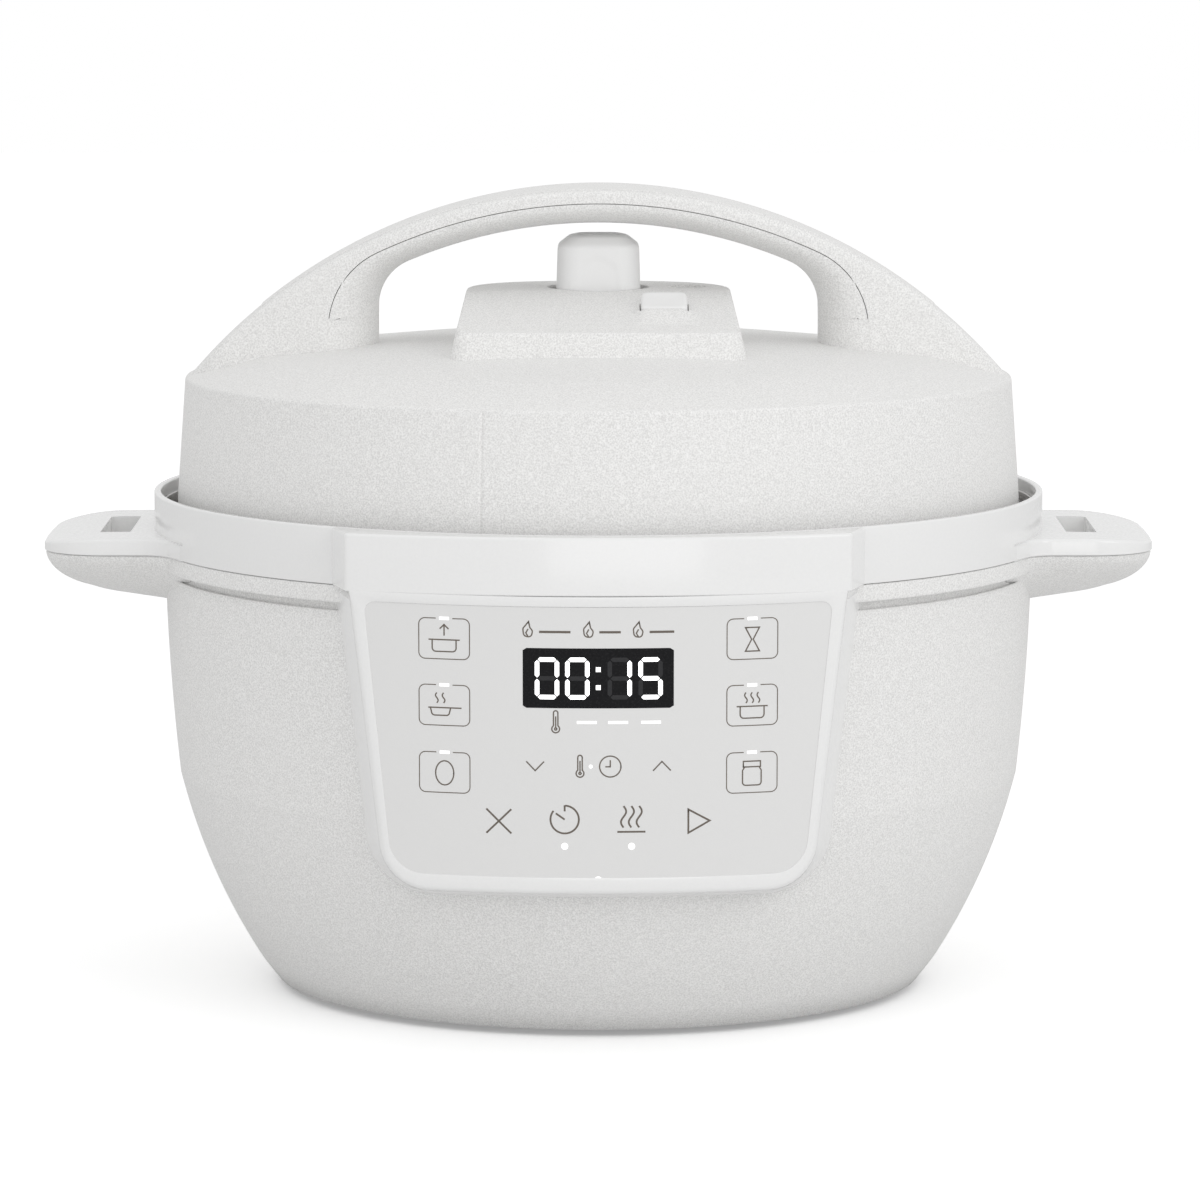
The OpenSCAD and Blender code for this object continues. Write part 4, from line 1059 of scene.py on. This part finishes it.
DECK_Z = DECK_HIGH[2]
BUTTON_AT = (BUTTON_LOW + BUTTON_HIGH)[:2] / 2
FLOAT_AT = (FLOAT_LOW + FLOAT_HIGH)[:2] / 2
BUTTON_HALF = np.array([9.3, 7.5])
BUTTON_FLOOR, FLOAT_FLOOR, DECK_FOOT = 268.5, 263.0, 259.0


def soft_min(values, softness):
    """Smooth lowest of several heights: -k log(sum(exp(-h / k)))."""
    stacked = np.stack(values)
    lowest = stacked.min(0)
    return lowest - softness * np.log(np.exp(-(stacked - lowest) / softness).sum(0))


def step_down(distance, width=0.35):
    """1 inside an edge (distance below 0) and 0 outside, over a short slope."""
    return np.clip(0.5 - distance / width, 0, 1)


def deck_height(x, y):
    """The platform: flat top, sloped front, a strip under it and flared walls, with wells sunk in it.

    The wall falls away from a plan with small round corners at the front and large ones behind; a low
    cone rises from the slope to meet the button's front edge.
    """
    half_x, half_y, middle_y, corner = 56.4, 54.5, -15, 5
    knob_r, knob_deep, well_r, bore_r = 20.6, 2.5, 8, 3.8
    slope = DECK_Z + 0.203 * (y + 20)
    foot = DECK_Z - 11.3
    out_x = np.clip((np.abs(x) - (half_x - corner)) / corner, 0, None)
    out_y = np.clip((DECK_LOW[1] + 7.4 - y) / corner, 0, None)
    ahead = foot + 21 * (1 - np.hypot(out_x, out_y))
    plan = ((np.abs(x) / half_x) ** 2.5 + (np.clip(y - middle_y, 0, None) / half_y) ** 2.5) ** 0.4
    behind = foot + (1 - plan) * half_x * 4.2
    height = soft_min([DECK_Z + 0 * x, slope], 0.5)
    height = soft_min([height, np.where(y < middle_y, ahead, behind)], 0.45)
    recess = step_down(np.hypot(x, y) - knob_r)
    height = height + recess * (DECK_Z - knob_deep - height)
    from_float = np.hypot(x - FLOAT_AT[0], y - FLOAT_AT[1])
    height = height - step_down(from_float - well_r)
    edge = BUTTON_AT[1] - BUTTON_HALF[1]
    ahead = np.where(y < edge, (y - edge) / 15.0, (y - edge) / 7.0)
    aside = np.clip(np.abs(x - BUTTON_AT[0]) - 6, 0, None) / 7.5
    height = height + 3.0 * np.clip(1 - np.hypot(aside, ahead), 0, 0.85)
    across = np.abs(x - BUTTON_AT[0]) - BUTTON_HALF[0]
    along = np.abs(y - BUTTON_AT[1]) - BUTTON_HALF[1]
    height = np.where((across < 0.55) & (along < 0.35), BUTTON_FLOOR, height)
    bore = step_down(from_float - bore_r, 0.6)
    return height + bore * (FLOAT_FLOOR - height)


def make_deck():
    """Platform skin over a fine grid, with its foot sunk in the lid."""
    wall_x, wall_y = BUTTON_HALF[0] + np.array([0.5, 0.6]), BUTTON_HALF[1] + np.array([0.3, 0.4])
    x = np.concatenate([np.linspace(-62, 62, 241), BUTTON_AT[0] - wall_x, BUTTON_AT[0] + wall_x])
    y = np.concatenate([np.linspace(DECK_LOW[1] - 1, DECK_HIGH[1] + 4, 235), BUTTON_AT[1] - wall_y,
                        BUTTON_AT[1] + wall_y])
    x, y = np.sort(x), np.sort(y)
    xx, yy = np.meshgrid(x, y, indexing="ij")
    top = np.stack([xx, yy, np.maximum(deck_height(xx, yy), DECK_FOOT)], -1)
    rows, columns = xx.shape
    flat = np.stack([xx, yy, np.full_like(xx, DECK_FOOT - 1)], -1)
    edge = np.concatenate([np.arange(columns), np.arange(1, rows) * columns + columns - 1,
                           (rows - 1) * columns + np.arange(columns - 2, -1, -1),
                           np.arange(rows - 2, 0, -1) * columns])
    points = np.concatenate([top.reshape(-1, 3), flat.reshape(-1, 3)[edge]])
    first = rows * columns
    ring = np.arange(len(edge))
    wall = np.stack([edge, np.roll(edge, -1), first + np.roll(ring, -1), first + ring], 1)
    faces = grid_faces(rows, columns).tolist() + wall.tolist() + [(first + ring).tolist()]
    made = piece("valve_deck", points, faces, weld=1e-8)
    fit(made, MATTE, "lid", "matte_white", "valve_platform")


def make_knob():
    """Steam release knob: a rounded square tapering to a rolled shoulder, with a scoop front and back."""
    half, low, high = KNOB_HIGH[0], DECK_Z - 1.7, KNOB_HIGH[2]
    profile = rounded([(half - 1.0, low), (half, low), (half - 0.6, high - 4.6), (half - 5.4, high - 0.8),
                       (half - 9, high), (1, high)], [0, 0.8, 3.2, 5, 5.0, 0], 8, closed=False)
    step = np.concatenate([[0], np.cumsum(np.linalg.norm(np.diff(profile, axis=0), axis=1))])
    even = np.unique(np.concatenate([step, np.linspace(0, step[-1], 60)]))
    reach, height = np.interp(even, step, profile[:, 0]), np.interp(even, step, profile[:, 1])
    sections = []
    for h, z in zip(reach, height):
        plan = matched_outline([(h, -h), (h, h), (-h, h), (-h, -h)], np.full(4, 9.2 * h / half), 8, 28)
        inside = 1 - (plan[:, 0] / 9.6) ** 2 - (np.clip(z - low - 6, 0, None) / 9.5) ** 2
        dent = 0.3 * np.clip(2.2 * inside, 0, 1) * (np.abs(plan[:, 1]) > 0.9 * h) * (h > half - 3)
        plan[:, 1] -= np.sign(plan[:, 1]) * dent
        sections.append((plan, z))
    fit(loft("steam_knob", sections), SATIN, "knob", "gloss_white", "steam_release_knob")
    stem = loft("steam_knob_stem", [(ring_of((0, 0), 9.5, 0, 350, 36), z) for z in (KNOB_LOW[2], low + 0.5)])
    fit(stem, GLOSS, "knob", "gloss_white", "steam_release_knob")


def make_button():
    """Quick-release button: a rounded block whose slightly dished top tilts to the front."""
    low = 274.0
    levels = [(0.3, 0), (0, 0.04), (0, 0.86), (0.12, 0.93), (0.5, 0.98), (1.1, 1), (1.9, 0.995), (3.4, 0.98),
              (5.8, 0.965)]
    rows = []
    for inset, share in levels:
        plan = rounded_rectangle(*(BUTTON_HALF - inset), max(2.6 - inset * 0.35, 1.0), 6, BUTTON_AT)
        top = BUTTON_HIGH[2] - 1.2 + 0.38 * (plan[:, 1] - BUTTON_AT[1] - BUTTON_HALF[1])
        rows.append(np.column_stack([plan, low + (top - low) * share]))
    made = sheet_grid("release_button", np.stack(rows), wrap_columns=True, caps=True)
    fit(made, SATIN, "button", "gloss_white", "quick_release_button")


def make_spring():
    """Lever spring: a wire circle carried up a helix with closed ends. The share of its length that the button's
    travel and a clearance more would leave is worked out, but the coil keeps its full length.
    """
    low, high = box("lever_spring")
    centre, wire, travel, clearance = (low[:2] + high[:2]) / 2, 0.5, 4.0, 1.5
    coil = (high[0] - low[0]) / 2 - wire
    t = np.linspace(0, 1, 241)
    turn = 2 * np.pi * 6 * t
    height = low[2] + wire + (high[2] - low[2] - 2 * wire) * np.clip((t - 0.08) / 0.84, 0, 1)
    path = np.stack([coil * np.cos(turn), coil * np.sin(turn), height], 1)
    out = np.stack([np.cos(turn), np.sin(turn), 0 * turn], 1)
    around = np.radians(np.arange(0, 360, 36))[None, :, None]
    points = path[:, None] + wire * (np.cos(around) * out[:, None] + np.sin(around) * np.array([0, 0, 1.0]))
    points = points + np.array([*centre, 0])
    made = sheet_grid("lever_coil", points, wrap_columns=True, caps=True)
    fit(made, STEEL, "lid", "steel_bright", "lever_spring")
    keep = 1 - (travel + clearance) / (high[2] - low[2])
    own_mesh(made)


# ---------- pot, seal and steel ----------

def bayonet(name, low, high, near, far, tabs=6, angle=26):
    """Lugs round a rim: blocks between two radii, evenly spaced and each as wide as the angle in degrees."""
    arc = np.radians(np.linspace(-angle / 2, angle / 2, 13))
    outer = np.stack([far * np.cos(arc), far * np.sin(arc)], 1)
    inner = np.stack([near * np.cos(arc[::-1]), near * np.sin(arc[::-1])], 1)
    plan = np.concatenate([outer, inner])
    points, faces, count = [], [], 0
    for k in range(tabs):
        turn = np.radians(360 / tabs * k)
        spin = np.array([[np.cos(turn), np.sin(turn)], [-np.sin(turn), np.cos(turn)]])
        for z in (low, high):
            points.append(np.column_stack([plan @ spin, np.full(len(plan), z)]))
        n = len(plan)
        faces += (grid_faces(2, n, wrap_columns=True) + count).tolist()
        faces += [list(range(count, count + n)), list(range(count + n, count + 2 * n))]
        count += 2 * n
    return piece(name, np.concatenate(points), faces, weld=1e-8)


def make_pot():
    """Inner pot: drawn steel with a round lower corner, a rolled rim and engraved fill lines."""
    inside, wall = POT_HIGH[0] - 9, 1.0
    low, high = POT_LOW[2], POT_HIGH[2]
    lines = []
    for z in (low + 45, low + 75, low + 105):
        lines += [(inside, z + 0.5), (inside + 0.3, z + 0.25), (inside + 0.3, z - 0.25), (inside, z - 0.5)]
    outer = rounded([(0.5, low), (inside + wall, low), (inside + wall, high - 1.7), (POT_HIGH[0], high - 1.7),
                     (POT_HIGH[0], high), (inside, high)], [0, 13, 0.8, 0.8, 0.8, 1.5], 8, closed=False)
    inner = rounded([lines[-1], (inside, low + 2.5), (0.5, low + 2.5)], [0, 12, 0], 8, closed=False)
    profile = np.concatenate([outer, sorted_down(lines), inner[1:]])
    fit(turned("cooking_pot", profile), STEEL, "pot", "steel_bright", "inner_pot")


def sorted_down(points):
    """Points in order of falling height."""
    points = np.array(points)
    return points[np.argsort(-points[:, 1], kind="stable")]


def make_seal():
    """Sealing ring with its turned lips, and the wire rack that holds it."""
    low, high = SEAL_LOW[2], SEAL_HIGH[2]
    far = SEAL_HIGH[0]
    profile = rounded([(far - 15, low), (far - 1.5, low), (far, low + 1.4), (far, high), (far - 15, high),
                       (far - 17, high - 2), (far - 15.6, high - 3.2), (far - 15.6, low + 3),
                       (far - 17, low + 1.8)], 0.5, 4)
    fit(turned("seal_skin", profile), SILICONE, "seal", "silicone", "sealing_ring")
    wire = np.linspace(0, 2 * np.pi, 17)[:-1]
    ring = np.stack([far - 18.7 + 1.5 * np.cos(wire), (low + high) / 2 + 1.5 * np.sin(wire)], 1)
    fit(turned("seal_rack_wire", ring), STEEL, "seal", "steel_bright", "seal_rack")


def make_steel_parts():
    """Rim collar, pot well, and the lid's steel dome with its lugs."""
    foot, near, bend, edge, step = RIM_LOW[2], 139.4, 175.6, RIM_HIGH[0], SEAM_Z + 2.2
    rim = rounded([(near, foot), (bend, foot), (bend, step), (edge, step), (edge, RIM_HIGH[2]),
                   (edge - 1, RIM_HIGH[2]), (edge - 1, step + 1), (bend - 1, step + 1), (bend - 1, foot + 1),
                   (near, foot + 1)], 0.4, 3)
    fit(turned("rim_steel", rim), STEEL, "base", "steel_dark", "rim_collar")
    low, high = WELL_LOW[2], WELL_HIGH[2]
    hole, wall, lip = 30, 139, 146
    well = rounded([(hole, low), (wall, low), (wall, high - 2), (lip, high - 2), (lip, high),
                    (wall - 1, high), (wall - 1, low + 1), (hole, low + 1)], [0, 6, 0.6, 0.4, 0.4, 1.2, 5, 0], 6)
    fit(turned("pot_well", well), DARK_STEEL, "base", "steel_dark", "outer_pot")
    fit(bayonet("rim_tabs", high - 2, high, 145, WELL_HIGH[0]), DARK_STEEL, "base", "steel_dark", "outer_pot")
    skirt, top, bottom = PLATE_HIGH[0], PLATE_HIGH[2], PLATE_LOW[2]
    level = bottom + 19.2
    hole, sheet = 7.5, 1.5
    dome = rounded([(hole, top - sheet), (111, top - sheet), (124, level), (skirt - sheet, level),
                    (skirt - sheet, bottom), (skirt, bottom), (skirt, level + sheet), (125, level + sheet),
                    (112, top), (hole, top)], [0, 5, 5, 1.5, 0.4, 0.4, 3, 4, 4, 0], 6)
    fit(turned("lid_dome", dome), STEEL, "lid", "steel_bright", "lid_plate")
    lugs = bayonet("lid_lugs", bottom + 2, bottom + 5, skirt - 7.5, skirt - 0.5)
    fit(lugs, STEEL, "lid", "steel_bright", "lid_plate")


def make_feet():
    """Rubber feet with a rolled lower edge."""
    low, high = box("rubber_feet")
    reach = high[0] - 9
    for name, angle in (("right", 0), ("rear", 90), ("left", 180), ("front", 270)):
        centre = reach * np.array([np.cos(np.radians(angle)), np.sin(np.radians(angle))])
        levels = [(8.4, 0), (8.8, 0.2), (9, 0.6), (9, high[2])]
        foot = loft("foot_" + name, [(ring_of(centre, r, 0, 350, 36), z) for r, z in levels])
        fit(foot, RUBBER, "base", "rubber_grey", "rubber_feet")


# ---------- stage ----------

LAMPS = {"top": ((0, -0.3, 1.9), 1.5, 1.6), "key": ((1.6, -1.9, 1.3), 1.2, 8),
         "front": ((0.2, -2.7, 0.6), 1.2, 6)}


def make_floor():
    """White floor: a glowing white to the camera itself and a plain white to every other ray."""
    bpy.ops.mesh.primitive_plane_add(size=14)
    floor = bpy.context.object
    floor.name = "floor"
    look = Shader("floor_white", (0.9, 0.9, 0.9), 0.9, Emission_Color=(1, 1, 1, 1), Emission_Strength=0.3)
    look.set(Base_Color=look.mix(look.noise(300.0), (0.895, 0.895, 0.895), (0.905, 0.905, 0.905)))
    bounce = look.add("ShaderNodeBsdfDiffuse", None, {"Color": (0.8, 0.8, 0.8, 1)})
    seen = look.add("ShaderNodeLightPath").part("Is Camera Ray")
    shown = Socket(look, look.surface.outputs[0])
    choice = look.add("ShaderNodeMixShader", None, {0: seen, 1: bounce, 2: shown})
    look.join(look.nodes["Material Output"].inputs["Surface"], choice)
    floor.data.materials.append(look.material)


def make_surroundings():
    """Even white all round, a little dimmer to the object than to the camera."""
    world = bpy.data.worlds.new("studio")
    bpy.context.scene.world = world
    world.use_nodes = True
    nodes, links = world.node_tree.nodes, world.node_tree.links
    nodes["Background"].inputs["Strength"].default_value = 0.82
    seen = nodes.new("ShaderNodeBackground")
    path, choice = nodes.new("ShaderNodeLightPath"), nodes.new("ShaderNodeMixShader")
    for back in (nodes["Background"], seen):
        back.inputs["Color"].default_value = (1, 1, 1, 1)
    links.new(path.outputs["Is Camera Ray"], choice.inputs[0])
    links.new(nodes["Background"].outputs[0], choice.inputs[1])
    links.new(seen.outputs[0], choice.inputs[2])
    links.new(choice.outputs[0], nodes["World Output"].inputs[0])


def make_lamps():
    """Soft square lights from above, from the front right and from the front, each (place, width, watts)."""
    target = Vector((0, 0, 0.16))
    for name, (place, size, watts) in LAMPS.items():
        light = bpy.data.lights.new(name, "AREA")
        light.shape, light.size, light.energy = "SQUARE", size, watts
        lamp = bpy.data.objects.new(name, light)
        lamp.location = place
        lamp.rotation_euler = (target - lamp.location).to_track_quat("-Z", "Y").to_euler()
        bpy.context.scene.collection.objects.link(lamp)


def make_camera():
    """A long lens that looks slightly down at the front."""
    pitch, distance, aim = np.radians(7.05), 2.477, Vector((0.00066, 0, 0.157))
    camera = bpy.data.cameras.new("camera")
    camera.lens, camera.sensor_width = 180.0, 36.0
    view = bpy.data.objects.new("camera", camera)
    view.location = aim + Vector((0, -distance * np.cos(pitch), distance * np.sin(pitch)))
    view.rotation_euler = (np.pi / 2 - pitch, 0, 0)
    bpy.context.scene.collection.objects.link(view)
    bpy.context.scene.camera = view
    bpy.context.scene.view_settings.view_transform = "Standard"


make_floor()
make_surroundings()
make_lamps()
make_camera()
finish_frame()
make_housing()
make_collar()
make_ring()
make_side_handles()
make_pad()
make_bezel()
make_glass()
make_prints()
make_display()
make_lights()
make_lid()
make_handle_frame()
make_handle_grip()
make_top_cover()
make_deck()
make_knob()
make_button()
make_spring()
make_pot()
make_seal()
make_steel_parts()
make_feet()
